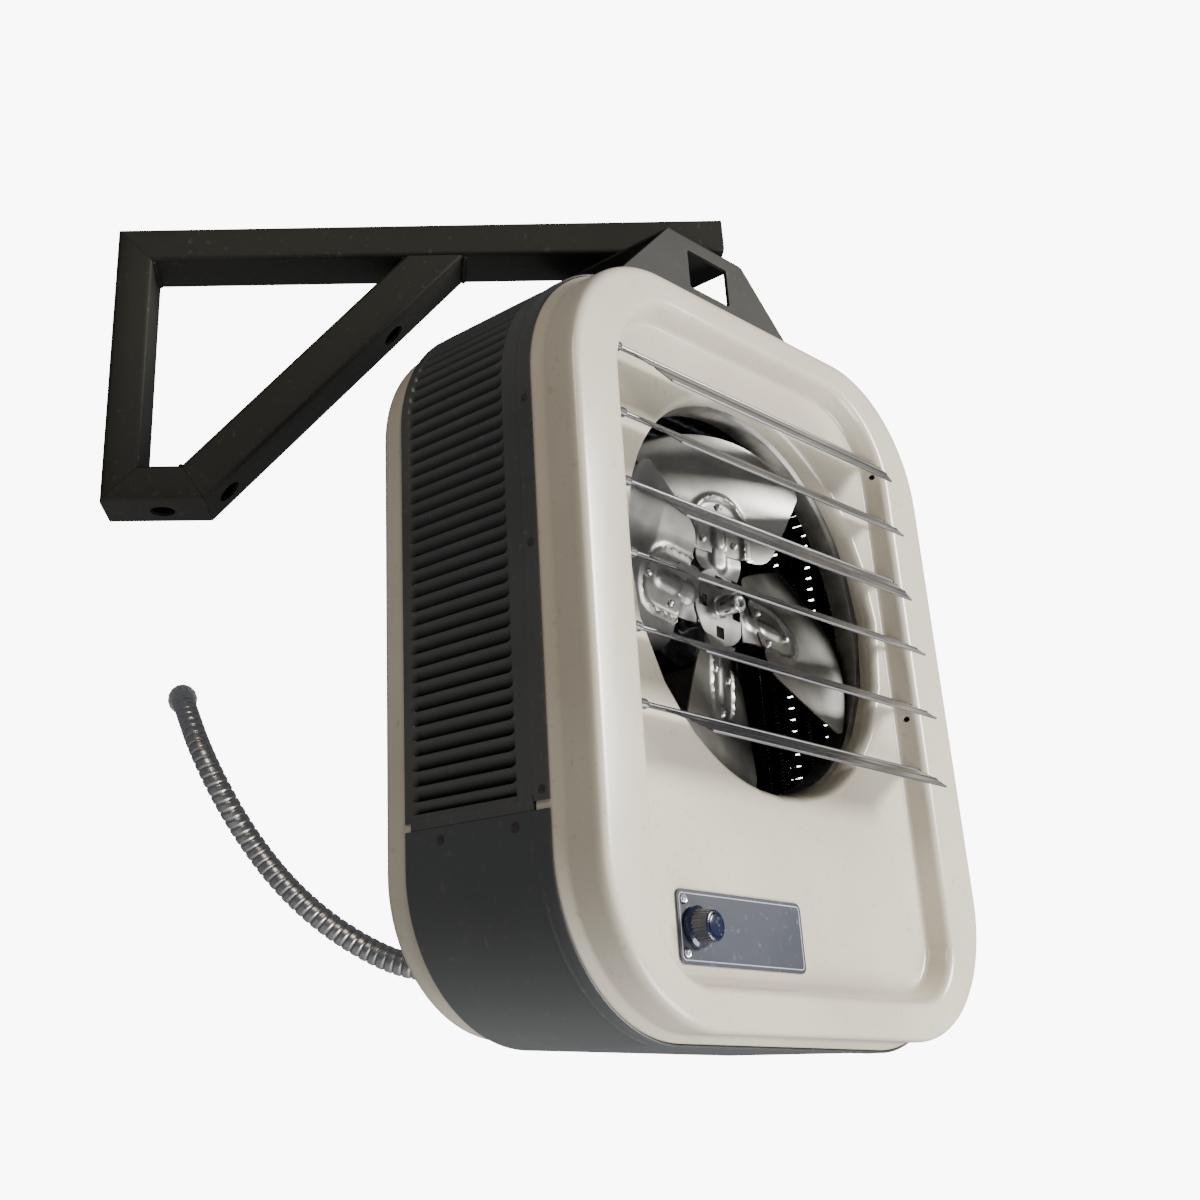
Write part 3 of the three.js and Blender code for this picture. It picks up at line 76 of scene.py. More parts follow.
def noise(tree, place, scale, detail):
    """A noise texture's value, read at a place."""
    texture = tree.nodes.new("ShaderNodeTexNoise")
    texture.inputs["Scale"].default_value, texture.inputs["Detail"].default_value = scale, detail
    tree.links.new(place, texture.inputs["Vector"])
    return texture.outputs["Fac"]


def tone(tree, value, light, dark, span):
    """A colour that goes from dark to light while a value crosses a span."""
    ramp = tree.nodes.new("ShaderNodeValToRGB")
    low, high = ramp.color_ramp.elements
    low.position, high.position = span
    low.color, high.color = (*dark, 1), (*light, 1)
    tree.links.new(value, ramp.inputs["Fac"])
    return ramp.outputs["Color"]


def surface(tree, shader, value, roughness, height, strength, relief):
    """A roughness that follows a value between two limits, and a bump that follows a height."""
    gloss = tree.nodes.new("ShaderNodeMapRange")
    gloss.inputs["To Min"].default_value, gloss.inputs["To Max"].default_value = roughness
    tree.links.new(value, gloss.inputs["Value"])
    tree.links.new(gloss.outputs["Result"], shader.inputs["Roughness"])
    bump = tree.nodes.new("ShaderNodeBump")
    bump.inputs["Strength"].default_value, bump.inputs["Distance"].default_value = strength, relief
    tree.links.new(height, bump.inputs["Height"])
    tree.links.new(bump.outputs["Normal"], shader.inputs["Normal"])


def metal(name, light, dark, roughness, grain, relief=0.00003):
    """Bare metal: two tones and a roughness that follow noise stretched by the grain, with faint relief."""
    material, shader, place = new_material(name)
    tree = material.node_tree
    shader.inputs["Metallic"].default_value = 1.0
    stretch = tree.nodes.new("ShaderNodeMapping")
    stretch.inputs["Scale"].default_value = grain
    tree.links.new(place, stretch.inputs["Vector"])
    streaks = noise(tree, stretch.outputs["Vector"], 1.0, 6.0)
    dents = noise(tree, stretch.outputs["Vector"], 0.6, 1.0)
    tree.links.new(tone(tree, streaks, light, dark, (0.3, 0.7)), shader.inputs["Base Color"])
    surface(tree, shader, streaks, roughness, dents, 0.5, relief)
    return material


def unit(vectors):
    """The same vectors, each made one long."""
    return vectors / np.linalg.norm(vectors, axis=-1, keepdims=True)


def full_turn(count):
    """That many angles evenly round a whole turn."""
    return np.linspace(0, 2 * np.pi, count, endpoint=False)


def skin(rings, close_path=False):
    """A skin over closed rings: the path closes on itself, or a flat cap closes each end."""
    rings = np.asarray(rings, float)
    rows, columns = rings.shape[:2]
    row = np.arange(rows if close_path else rows - 1)[:, None]
    column = np.arange(columns)[None, :]
    next_row, next_column = (row + 1) % rows, (column + 1) % columns
    corners = (row * columns + column, row * columns + next_column,
               next_row * columns + next_column, next_row * columns + column)
    faces = np.stack(np.broadcast_arrays(*corners), -1).reshape(-1, 4).tolist()
    if not close_path:
        faces += [list(range(columns)), list(range((rows - 1) * columns, rows * columns))]
    return rings.reshape(-1, 3), faces


def gathered(shapes):
    """Several shapes as one list of points and one of faces."""
    points, faces, count = [], [], 0
    for shape_points, shape_faces in shapes:
        points.append(np.asarray(shape_points, float).reshape(-1, 3))
        faces += [[corner + count for corner in face] for face in shape_faces]
        count += len(points[-1])
    return np.concatenate(points), faces


def solid_mesh(name, shape):
    """A mesh from points in heater millimetres, with doubles merged and faces turned out."""
    points, faces = shape
    mesh = bpy.data.meshes.new(name)
    mesh.from_pydata(in_frame(points).tolist(), [], faces)
    work = bmesh.new()
    work.from_mesh(mesh)
    bmesh.ops.remove_doubles(work, verts=work.verts, dist=0.000002)
    bmesh.ops.recalc_face_normals(work, faces=work.faces)
    work.to_mesh(mesh)
    work.free()
    return mesh


def make(name, shape, body, material, replaced=(), sharp=32.0):
    """One piece from a shape, smooth under the sharp angle, on its body and with its material slot."""
    mesh = solid_mesh(name, shape)
    mesh.polygons.foreach_set("use_smooth", [True] * len(mesh.polygons))
    mesh.set_sharp_from_angle(angle=math.radians(sharp))
    mesh.materials.append(material)
    piece = bpy.data.objects.new(name, mesh)
    bpy.context.scene.collection.objects.link(piece)
    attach(piece, body)
    if replaced:
        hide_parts(*replaced)
    return piece


def curve_through(points, steps):
    """A centripetal Catmull-Rom curve through the points, with that many steps between each pair."""
    points = np.asarray(points, float)
    ends = 2 * points[0] - points[1], 2 * points[-1] - points[-2]
    points = np.concatenate([[ends[0]], points, [ends[1]]])
    gaps = np.linalg.norm(np.diff(points, axis=0), axis=1)[:, None] ** 0.5
    slopes = np.diff(points, axis=0) / gaps
    first = (slopes[:-2] - (points[2:-1] - points[:-3]) / (gaps[:-2] + gaps[1:-1]) + slopes[1:-1]) * gaps[1:-1]
    last = (slopes[1:-1] - (points[3:] - points[1:-2]) / (gaps[1:-1] + gaps[2:]) + slopes[2:]) * gaps[1:-1]
    share = (np.arange(steps) / steps)[None, :, None]
    start, end = points[1:-2, None], points[2:-1, None]
    first, last = first[:, None], last[:, None]
    inner = (2 * share**3 - 3 * share**2 + 1) * start + (share**3 - 2 * share**2 + share) * first
    inner = inner + (3 * share**2 - 2 * share**3) * end + (share**3 - share**2) * last
    return np.concatenate([inner.reshape(-1, 3), points[-2:-1]])


def evenly(line, count):
    """The same line with its points spread evenly along its length, and that length."""
    along = np.concatenate([[0], np.cumsum(np.linalg.norm(np.diff(line, axis=0), axis=1))])
    places = np.linspace(0, along[-1], count)
    return np.stack([np.interp(places, along, line[:, axis]) for axis in range(3)], -1), along[-1]


conduit_route = [
    (-20, 237.6, -213), (-20, 248.6, -213), (-20, 259.6, -213), (-20.9, 282.8, -213.3), (-25.9, 305.3, -215.1),
    (-34.6, 326.6, -218.1), (-45.4, 347, -220.4), (-56.1, 367.5, -219.2), (-65.7, 387.7, -213.2),
    (-76, 406.2, -203.9), (-88.8, 421.8, -192.5), (-102.7, 435.2, -179.6), (-115.6, 447.9, -165.1),
    (-126.6, 460.8, -149.3), (-136.1, 473.4, -132.3), (-146.1, 483.9, -114.2), (-158.2, 490.5, -95.6),
    (-171.2, 494.2, -76.7), (-182.3, 498.9, -57), (-189.6, 506.8, -36.5), (-192.6, 517.7, -16.3),
    (-191.1, 531.2, 2.4), (-185.7, 547.3, 18.3), (-177.1, 565.2, 30.1), (-165.8, 583.9, 37.9),
    (-160, 592.7, 40.8), (-154.1, 601.5, 43.8), (-148.2, 610.4, 46.7),
]
conduit_line, conduit_length = evenly(curve_through(conduit_route, 60), 1400)


def wound_tube(line, length, outer, bore, pitch, groove=1.5, sides=28):
    """A tube whose outer wall swells and dips once in every pitch along a helix, with a plain bore inside."""
    tangent = unit(np.gradient(line, axis=0))
    across = unit(np.cross(tangent, (0.55, -0.45, 0.70)))
    upward = np.cross(tangent, across)
    turn = full_turn(sides)
    place = np.linspace(0, length, len(line))
    phase = (place[:, None] / pitch + turn[None, :] / (2 * np.pi)) % 1.0
    swell = np.clip(np.abs(np.sin(np.pi * phase)) * 1.5, 0, 1) ** 0.8
    fade = np.clip(np.minimum(place, length - place) / pitch, 0, 1)[:, None]
    radius = outer - groove * (1 - swell) * fade - 0.3 * (1 - fade)
    around = np.cos(turn)[None, :, None] * across[:, None] + np.sin(turn)[None, :, None] * upward[:, None]
    wall = line[:, None] + radius[..., None] * around
    inside = (line[:, None] + bore * around)[::-40]
    inside = np.concatenate([inside, (line[:1, None] + bore * around[:1])])
    return skin(np.concatenate([wall, inside]), close_path=True)


galvanised = metal(
    "galvanised_strip", (0.50, 0.50, 0.50), (0.27, 0.27, 0.28), (0.22, 0.42), (900, 900, 900), 0.00006)
conduit = make("conduit_winding", wound_tube(conduit_line, conduit_length, 10.9, 7.9, 8.4), "heater",
               galvanised, ["conduit"], sharp=60.0)
zinc_cast = metal("zinc_casting", (0.62, 0.62, 0.61), (0.45, 0.45, 0.46), (0.3, 0.5), (260, 260, 260), 0.0001)
for fitting in ("conduit_connector", "conduit_end_connector", "connector_nut"):
    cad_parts[fitting].data.materials[0] = zinc_cast

# Front panel: one drawn stamping in cream enamel, with a flared edge, a rolled rim, a recessed field
# and a rolled air outlet. The louvers' pins sit in small holes through the walls of the recess.
casing_x, casing_z, casing_corner = 235.0, 285.0, 112.0
recess_x, recess_z, recess_top, recess_bottom, recess_depth = 182.0, 255.0, 75.0, 50.0, 18.0
outlet_z, outlet_radius = 49.0, 160.0
sheet_gauge, pin_depth = 1.2, 6.0
louver_heights = 203 - 55.2 * np.arange(6)
knob_x, knob_z = -124.5, -216.5


def rounded_box(half_width, half_height, top_corner, bottom_corner, corner_steps=22, straight_steps=10):
    """An outline with four rounded corners: always as many points, crowded towards the corners."""
    turn = np.linspace(0, np.pi / 2, corner_steps + 1)
    corners = []
    for corner, (side, end, radius) in enumerate(((1, 1, top_corner), (-1, 1, top_corner),
                                                  (-1, -1, bottom_corner), (1, -1, bottom_corner))):
        angle = turn + corner * np.pi / 2
        corners.append(np.stack([side * (half_width - radius) + radius * np.cos(angle),
                                 end * (half_height - radius) + radius * np.sin(angle)], -1))
    pieces = []
    for corner in range(4):
        pieces.append(corners[corner])
        share = np.linspace(0, 1, straight_steps + 1)[1:-1, None]
        share = share - 0.42 * np.sin(2 * np.pi * share) / np.pi
        pieces.append(corners[corner][-1] * (1 - share) + corners[(corner + 1) % 4][0] * share)
    return np.concatenate(pieces)


def casing_ring(offset, depth):
    """The casing's outline grown by an offset, at a depth."""
    corner = casing_corner + offset
    return np.insert(rounded_box(casing_x + offset, casing_z + offset, corner, corner), 1, depth, axis=1)


def recess_ring(offset, depth):
    """The recess's outline grown by an offset, at a depth."""
    outline = rounded_box(recess_x + offset, recess_z + offset, recess_top + offset, recess_bottom + offset)
    return np.insert(outline, 1, depth, axis=1)


def outlet_ring(offset, depth):
    """The round outlet grown by an offset, with its points in line with those of the recess."""
    x, depth, z = recess_ring(0.0, depth).T
    angle, radius = np.arctan2(z - outlet_z, x), outlet_radius + offset
    return np.stack([radius * np.cos(angle), depth, outlet_z + radius * np.sin(angle)], -1)


def round_section(stations, radii, steps=6):
    """A path of [offset, depth] corners with each inner corner rounded off by its own radius."""
    stations = np.asarray(stations, float)
    path = [stations[:1]]
    for corner, radius in zip(range(1, len(stations) - 1), radii):
        before, here, after = stations[corner - 1:corner + 2]
        arrive, leave = here - before, after - here
        reach = min(radius, 0.49 * np.linalg.norm(arrive), 0.49 * np.linalg.norm(leave))
        start = here - arrive / np.linalg.norm(arrive) * reach
        end = here + leave / np.linalg.norm(leave) * reach
        share = np.linspace(0, 1, steps + 1)[:, None]
        path.append((1 - share) ** 2 * start + 2 * share * (1 - share) * here + share**2 * end)
    path.append(stations[-1:])
    return np.concatenate(path)


def sheet_rings(stretches, thickness):
    """Rings down a pressed sheet's face, and down its back a thickness behind, square to the section."""
    base = {casing_ring: casing_x, recess_ring: recess_x, outlet_ring: outlet_radius}
    whole = np.concatenate([np.asarray(path) + (base[ring], 0) for ring, path in stretches])
    edges = np.diff(whole, axis=0)
    edges /= np.maximum(np.linalg.norm(edges, axis=1), 1e-9)[:, None]
    normals = np.concatenate([edges[:1], edges]) + np.concatenate([edges, edges[-1:]])
    normals = unit(np.stack([normals[:, 1], -normals[:, 0]], -1))
    places = [(ring, *place) for ring, path in stretches for place in path]
    face = [ring(offset, depth) for ring, offset, depth in places]
    back = [ring(offset + thickness * normal[0], depth + thickness * normal[1])
            for (ring, offset, depth), normal in zip(places, normals)]
    return face, back


def mixed(tree, share, under, over):
    """A colour mixed with one laid over it by a share."""
    mix = tree.nodes.new("ShaderNodeMix")
    mix.data_type = "RGBA"
    mix.inputs["B"].default_value = (*over, 1)
    tree.links.new(share, mix.inputs["Factor"])
    tree.links.new(under, mix.inputs["A"])
    return mix.outputs["Result"]


def enamel(name, light, dark, roughness, patch=4.0, peel=700.0, relief=0.00004, speck=None, inside=None):
    """Sprayed enamel: two close tones in patches, fine orange peel, specks, and a colour for the inside, painted
    where the inside attribute is set as painted shade.
    """
    material, shader, place = new_material(name)
    tree = material.node_tree
    broad, fine = noise(tree, place, patch, 4.0), noise(tree, place, peel, 2.0)
    colour = tone(tree, broad, light, dark, (0.35, 0.65))
    if speck:
        share = tree.nodes.new("ShaderNodeMapRange")
        share.inputs["From Min"].default_value, share.inputs["From Max"].default_value = 0.62, 0.74
        share.inputs["To Max"].default_value = 0.5
        tree.links.new(noise(tree, place, 160.0, 8.0), share.inputs["Value"])
        colour = mixed(tree, share.outputs["Result"], colour, speck)
    # The inside colour is painted shade, mixed in where the inside attribute is set.
    if inside:
        back = tree.nodes.new("ShaderNodeAttribute")
        back.attribute_name = "inside"
        colour = mixed(tree, back.outputs["Fac"], colour, inside)
    tree.links.new(colour, shader.inputs["Base Color"])
    surface(tree, shader, broad, roughness, fine, 0.35, relief)
    return material


# Its near-black inside colour is painted shade, laid on the rear panel's inner face.
cream = enamel("cream_enamel", (0.62, 0.57, 0.46), (0.53, 0.48, 0.38), (0.16, 0.27), 5.0, 600.0, 0.00003,
               (0.42, 0.36, 0.27), (0.035, 0.033, 0.030))


def flange(depth, ledge):
    """The outer part of a panel's section: ledge under the wrap, flare, side and rolled rim."""
    corners = [(4.8, depth + ledge), (4.8, depth), (0, depth - 7), (0, 0), (-20, 0)]
    return round_section(corners, [1.6, 2.2, 9.0])[:-1]


def drilled(piece, cutters):
    """Closed cutter shapes taken out of a piece; the cut is applied, and its edges stay sharp."""
    uncut, cutter_mesh = piece.data, solid_mesh("cutter", gathered(cutters))
    cutter = bpy.data.objects.new("cutter", cutter_mesh)
    bpy.context.scene.collection.objects.link(cutter)
    modifier = piece.modifiers.new("holes", "BOOLEAN")
    modifier.operation, modifier.solver, modifier.object = "DIFFERENCE", "EXACT", cutter
    bpy.context.view_layer.update()
    result = bpy.data.meshes.new_from_object(piece.evaluated_get(bpy.context.evaluated_depsgraph_get()))
    piece.modifiers.clear()
    piece.data = result
    result.materials.clear()
    result.materials.append(uncut.materials[0])
    bpy.data.objects.remove(cutter)
    bpy.data.meshes.remove(cutter_mesh)
    bpy.data.meshes.remove(uncut)


def spokes(axis, sides):
    """Unit arms evenly round an axis one long, square to it."""
    across = unit(np.cross(axis, (0.31, 0.52, -0.79)))
    turn = full_turn(sides)[:, None]
    return np.cos(turn) * across + np.sin(turn) * np.cross(axis, across)


def rod(start, end, radius, sides=24):
    """A round rod between two points."""
    start, end = np.asarray(start, float), np.asarray(end, float)
    circle = radius * spokes(unit(end - start), sides)
    return skin([start + circle, end + circle])


quarter = np.linspace(0, np.pi / 2, 10)
lip = np.stack([8 * (1 - np.sin(quarter)), recess_depth + 14 * (1 - np.cos(quarter))], -1)
recess_path = [(14, 0), (1.5, 0), (-6.5, recess_depth), (-13.5, recess_depth)]
panel_face, panel_back = sheet_rings([
    (casing_ring, flange(37.5, 14)),
    (recess_ring, round_section(recess_path, [5.5, 6.0], 8)[1:]),
    (outlet_ring, lip),
], sheet_gauge)
front_panel = make("front_panel_stamping", skin(panel_face + panel_back[::-1], close_path=True), "heater",
                   cream, ["front_panel"])
pin_holes = [rod((-222, pin_depth, z), (222, pin_depth, z), 2.1, 16) for z in louver_heights]
clip_holes = [rod((150, 9.5, z - 11), (222, 9.5, z - 11), 2.5, 16) for z in louver_heights[[0, 4]]]
stem_hole = rod((knob_x, 10, knob_z), (knob_x, 26, knob_z), 3.7)
drilled(front_panel, pin_holes + clip_holes + [stem_hole])

# Rear panel: the same enamelled sheet as the front, drawn as a shallow dish and closed at the back.
# Screws through it hold the motor's bridge and the elements' supports, and the conduit enters low down.
casing_depth = 210.0
dish_path = np.concatenate([flange(30, 5.5), [(-20, 0)]])
dish_face, dish_back = sheet_rings([(casing_ring, dish_path)], sheet_gauge)
dish = np.array(dish_face[::-1] + dish_back)
dish[..., 1] = casing_depth - dish[..., 1]
rear_panel = make("rear_panel_stamping", skin(dish), "heater", cream, ["rear_panel"])
# The dish's inner face takes the enamel's near-black inside colour: painted shade for the casing's dark
# interior.
inside = rear_panel.data.attributes.new("inside", "FLOAT", "POINT")
inside.data.foreach_set("value", np.repeat((0.0, 1.0), len(inside.data) // 2))
entry_x, entry_z = conduit_route[0][0], conduit_route[0][2]
drilled(rear_panel, [rod((entry_x, 204, entry_z), (entry_x, 216, entry_z), 11.1, 32)])


def revolved(profile, start, axis, sides=48):
    """A profile of [radius, distance along an axis] turned about it, ring by ring; make merges its poles."""
    profile, axis = np.asarray(profile, float), unit(np.asarray(axis, float))
    return np.asarray(start, float) + profile[:, :1, None] * spokes(axis, sides) + profile[:, 1:, None] * axis


def screw(place, axis, radius, rise):
    """A washer-head sheet screw: a low disc under a hexagon with eased shoulders."""
    flange_part = skin(revolved([(radius * 1.35, 0), (radius * 1.3, 0.7), (radius * 0.9, 0.9)], place, axis, 24))
    head = skin(revolved([(radius, 0.4), (radius, rise - 0.5), (radius * 0.86, rise)], place, axis, 6))
    return [flange_part, head]


zinc_bright = metal("zinc_plate", (0.74, 0.74, 0.72), (0.52, 0.52, 0.53), (0.22, 0.42), (420, 420, 420))
fan_z, backward = 45.0, (0, 1, 0)
screw_places = [(side * 92, fan_z + up) for side in (-1, 1) for up in (-12, 12)]
screw_places += [(side * x, 54) for side in (-1, 1) for x in (186, 204)]
screw_places += [(82, -226), (122, -226), (20, -224), (42, -224), (-92, -226)]
rear_screws = [part for x, z in screw_places for part in screw((x, casing_depth, z), backward, 3.4, 2.2)]
make("rear_panel_screws", gathered(rear_screws), "heater", zinc_bright)

# Intake grille: one strip of charcoal-enamelled sheet wrapped over the casing, with a rolled hem in front.
# Slats lanced out of it slope inwards and down, and close at both ends where they run into the bands.
corner_x, corner_z = casing_x - casing_corner, casing_z - casing_corner
grille_edge = -141.0


def wrap_path(edge, straight=10, bend=26):
    """The casing's outline from an edge up the right side, over and down: points and outward headings."""
    turn = np.linspace(0, np.pi / 2, bend)[1:-1]
    up, over = np.linspace(edge, corner_z, straight), np.linspace(corner_x, -corner_x, straight)
    bow = np.stack([np.cos(turn), np.sin(turn)], -1)
    mirrored = bow[::-1] * (-1, 1)
    points = np.concatenate([
        np.stack([np.full(straight, casing_x), up], -1), (corner_x, corner_z) + casing_corner * bow,
        np.stack([over, np.full(straight, casing_z)], -1), (-corner_x, corner_z) + casing_corner * mirrored,
        np.stack([np.full(straight, -casing_x), up[::-1]], -1)])
    right, top, left = (np.tile(heading, (straight, 1)) for heading in ((1.0, 0.0), (0.0, 1.0), (-1.0, 0.0)))
    return points, np.concatenate([right, bow, top, mirrored, left])


def wrapped(points, headings, profile):
    """A profile of [depth, distance out] carried along the casing's outline, with both ends closed."""
    depth, out = np.asarray(profile, float).T
    x = points[:, :1] + out * headings[:, :1]
    z = points[:, 1:] + out * headings[:, 1:]
    return skin(np.stack([x, np.broadcast_to(depth, x.shape), z], -1))


hem_profile = [(38.2, 5.4), (38.0, 6.0), (38.3, 6.6), (39.2, 6.9), (45.5, 6.9), (47.5, 6.7), (49.0, 6.8),
               (49.8, 7.1), (50.7, 7.1), (51.6, 6.7), (52.4, 6.5)]
# Charcoal's near-black inside colour is painted shade for the shadowed lower part of the slats and the strip's
# inner side.
charcoal = enamel(
    "charcoal_enamel", (0.074, 0.075, 0.070), (0.052, 0.053, 0.050), (0.28, 0.44), 7.0, 900.0, 0.00002,
    (0.13, 0.12, 0.11), (0.004, 0.004, 0.004))
upper_points, upper_headings = wrap_path(grille_edge)
front_band = hem_profile + [(66.9, 6.5), (66.9, 5.3), (39.0, 5.3)]
rear_band = [(171.1, 6.5), (178.8, 6.5), (179.5, 5.9), (179.3, 5.3), (171.1, 5.3)]
grille_parts = [wrapped(upper_points, upper_headings, band) for band in (front_band, rear_band)]
straight_run, slat_radius = corner_z - grille_edge, casing_corner + 6.5
distance = 11.0 * np.arange(1, 57)
slope = np.clip((distance - straight_run) / slat_radius, 0, np.pi / 2)
past = np.maximum(distance - straight_run - slat_radius * np.pi / 2, 0)
slat_x = corner_x + slat_radius * np.cos(slope) - past
slat_z = np.where(distance < straight_run, distance + grille_edge, corner_z + slat_radius * np.sin(slope))
open_section = np.array([(0.2, 3.0), (-0.8, 0.8), (-3.4, -3.0), (-6.2, -7.6),
                         (-6.9, -7.2), (-4.3, -2.6), (-1.9, 1.6), (-0.9, 3.6)])
shut_section = np.array([(0, 5.5), (0, 1.8), (0, -1.8), (0, -5.5),
                         (-1.2, -5.5), (-1.2, -1.8), (-1.2, 1.8), (-1.2, 5.5)])
slat_depth = np.array([66.8, 68.2, 69.8, 72.0, 119.0, 166.0, 168.2, 169.8, 171.2])[:, None]
slat_open = np.array([0.0, 0.5, 0.86, 1.0, 1.0, 1.0, 0.86, 0.5, 0.0])[:, None, None]
slat_out, slat_up = np.moveaxis(slat_open * open_section + (1 - slat_open) * shut_section, -1, 0)
bead_out, bead_z = np.transpose([(5.3, -146.7), (6.5, -146.7), (6.5, -142.6), (6.9, -141.2), (7.4, -139.6),
                                 (7.0, -137.4), (6.4, -135.6), (5.3, -135.5)])
for side in (-1, 1):
    for x, z, angle in zip(slat_x, slat_z, slope):
        across = side * (x + slat_out * math.cos(angle) - slat_up * math.sin(angle))
        height = z + slat_out * math.sin(angle) + slat_up * math.cos(angle)
        grille_parts.append(skin(np.stack(np.broadcast_arrays(across, slat_depth, height), -1)))
    grille_parts.append(skin([np.stack([side * (casing_x + bead_out), np.full(8, depth), bead_z], -1)
                              for depth in (52.6, 172.4)]))
ridge = ((-3, 290.3), (3, 290.3), (3, 291.5), (-3, 291.5))
grille_parts.append(skin([[(x, depth, z) for x, z in ridge] for depth in (66.8, 171.2)]))
grille = make("intake_grille_wrap", gathered(grille_parts), "heater", charcoal,
              ["intake_grille"], sharp=40.0)
# The strip's inner side and the slats' lower, inner part are painted near black as painted shade: each point's
# distance out of the casing's outline decides how dark.
spots = np.empty(3 * len(grille.data.vertices))
grille.data.vertices.foreach_get("co", spots)
past_x, past_z = (np.abs(spots.reshape(-1, 3)[:, (0, 2)] * 1000 + (0, arm_top)) - (corner_x, corner_z)).T
round_corner = np.hypot(np.maximum(past_x, 0), np.maximum(past_z, 0))
outward = round_corner + np.minimum(np.maximum(past_x, past_z), 0) - casing_corner
slat_painted_shade = grille.data.attributes.new("inside", "FLOAT", "POINT")
slat_painted_shade.data.foreach_set("value", np.clip((5.4 - outward) / 2.6, 0, 1))

# Lower cover: a plain strip of the same sheet that wraps the wiring space from below.
# Its front edge has the grille's rolled hem and bead, and screws at its upper ends hold it.
cover_points, cover_headings = (line * (1, -1) for line in wrap_path(147, straight=5))
cover_grey = enamel(
    "cover_enamel", (0.062, 0.065, 0.067), (0.046, 0.048, 0.050), (0.30, 0.46), 3.0, 800.0, 0.00002,
    (0.12, 0.115, 0.11))
cover_profile = hem_profile + [(178.8, 6.5), (179.5, 5.9), (179.3, 5.3), (39.0, 5.3)]
make("lower_cover_wrap", wrapped(cover_points, cover_headings, cover_profile), "heater",
     cover_grey, ["lower_cover"])
casing_screws = []
for side in (-1, 1):
    for depth, z, seat in ((142, -156, 6.4), (70, -156, 6.4), (44, -134, 6.3), (44, 153, 6.3), (44, 40, 6.3)):
        casing_screws += screw((side * (casing_x + seat), depth, z), (side, 0, 0), 2.5, 0.8)
dark_screw = metal("browned_screw", (0.16, 0.14, 0.12), (0.08, 0.07, 0.06), (0.35, 0.55), (500, 500, 500))
make("casing_screws", gathered(casing_screws), "heater", dark_screw)

# Yoke: 3 mm plate bent into a bridge over the casing and painted black-brown, with a window in each side.
# Its feet are screwed to the casing's top, and the swivel bolt hangs it from the arm.


def arc(centre, radius, start, stop, steps):
    """Points on an arc about a centre in a plane, from one angle to another in degrees."""
    turn = np.radians(np.linspace(start, stop, steps + 1))
    return np.asarray(centre, float) + radius * np.stack([np.cos(turn), np.sin(turn)], -1)


def eased_block(low, high, axis=2, corner=1.5, ease=0.4):
    """A block between two corners: its outline rounded across one axis, its two ends eased along it."""
    low, high = np.asarray(low, float), np.asarray(high, float)
    others = [place for place in range(3) if place != axis]
    middle, half = (low + high)[others] / 2, (high - low)[others] / 2
    rings = []
    for inset, place in ((ease, low[axis]), (0, low[axis] + ease), (0, high[axis] - ease), (ease, high[axis])):
        outline = rounded_box(half[0] - inset, half[1] - inset, corner, corner, 4, 2) + middle
        rings.append(np.insert(outline, axis, place, axis=1))
    return skin(rings)


black = enamel(
    "black_enamel", (0.024, 0.0235, 0.019), (0.016, 0.0155, 0.013), (0.46, 0.66), 9.0, 420.0, 0.00004,
    (0.075, 0.066, 0.055))
black.node_tree.nodes["Principled BSDF"].inputs["Specular IOR Level"].default_value = 0.22
foot_z, bend_z, yoke_top, plate_gauge = 292.1, 298.1, 376.0, 3.0


def yoke_line(inset):
    """The bent plate's [depth, height] line at an inset from its outer face."""
    front = [(39 + inset, z) for z in (foot_z, bend_z, 340)]
    rear = [(179.5 - inset, z) for z in (340, bend_z, foot_z)]
    bends = [arc((43, 372), 4 - inset, 180, 90, 6), arc((175.5, 372), 4 - inset, 90, 0, 6)]
    return np.concatenate([front, *bends, rear])


outer_line, inner_line = yoke_line(0), yoke_line(plate_gauge)
half_width = np.interp(outer_line[:, 1], (bend_z, yoke_top), (131, 50))[:, None]
edge_share = np.array([0, 0, 0.13, 0.87, 1, 1, 0.87, 0.13])
edge_side = np.array([-1, 1, 1, 1, 1, -1, -1, -1]) * (half_width - 0.4 * np.isin(edge_share, (0, 1)))
strip = outer_line[:, None] + (inner_line - outer_line)[:, None] * edge_share[None, :, None]
yoke_parts = [skin(np.stack([edge_side, strip[..., 0], strip[..., 1]], -1))]
for near, far in ((-118, -62), (62, 118)):
    for front, rear in ((41.9, 63), (155.5, 176.6)):
        yoke_parts.append(eased_block((near, front, foot_z), (far, rear, foot_z + plate_gauge)))
yoke = make("swivel_yoke_plate", gathered(yoke_parts), "heater", black, ["swivel_yoke"])
drilled(yoke, [eased_block((-28, 35, 324.1), (28, 184, 361), 1, 2.5, 0.01),
               rod((0, bolt_depth, 370), (0, bolt_depth, 380), 6.4)])

# Arm: four lengths of rectangular steel tube, mitred, welded into a bracket and painted like the yoke.
# Its top bar carries the swivel bolt; the drop leg's outer face stands against a wall.
arm_heading, tube_half_depth = math.radians(137), 27.0


def on_arm(points):
    """Points given as [run along the arm, depth across it, height], turned to the arm's heading."""
    run, depth, height = np.moveaxis(np.asarray(points, float), -1, 0)
    right, back = math.cos(arm_heading), math.sin(arm_heading)
    return np.stack([run * right - depth * back, bolt_depth + run * back + depth * right, height], -1)


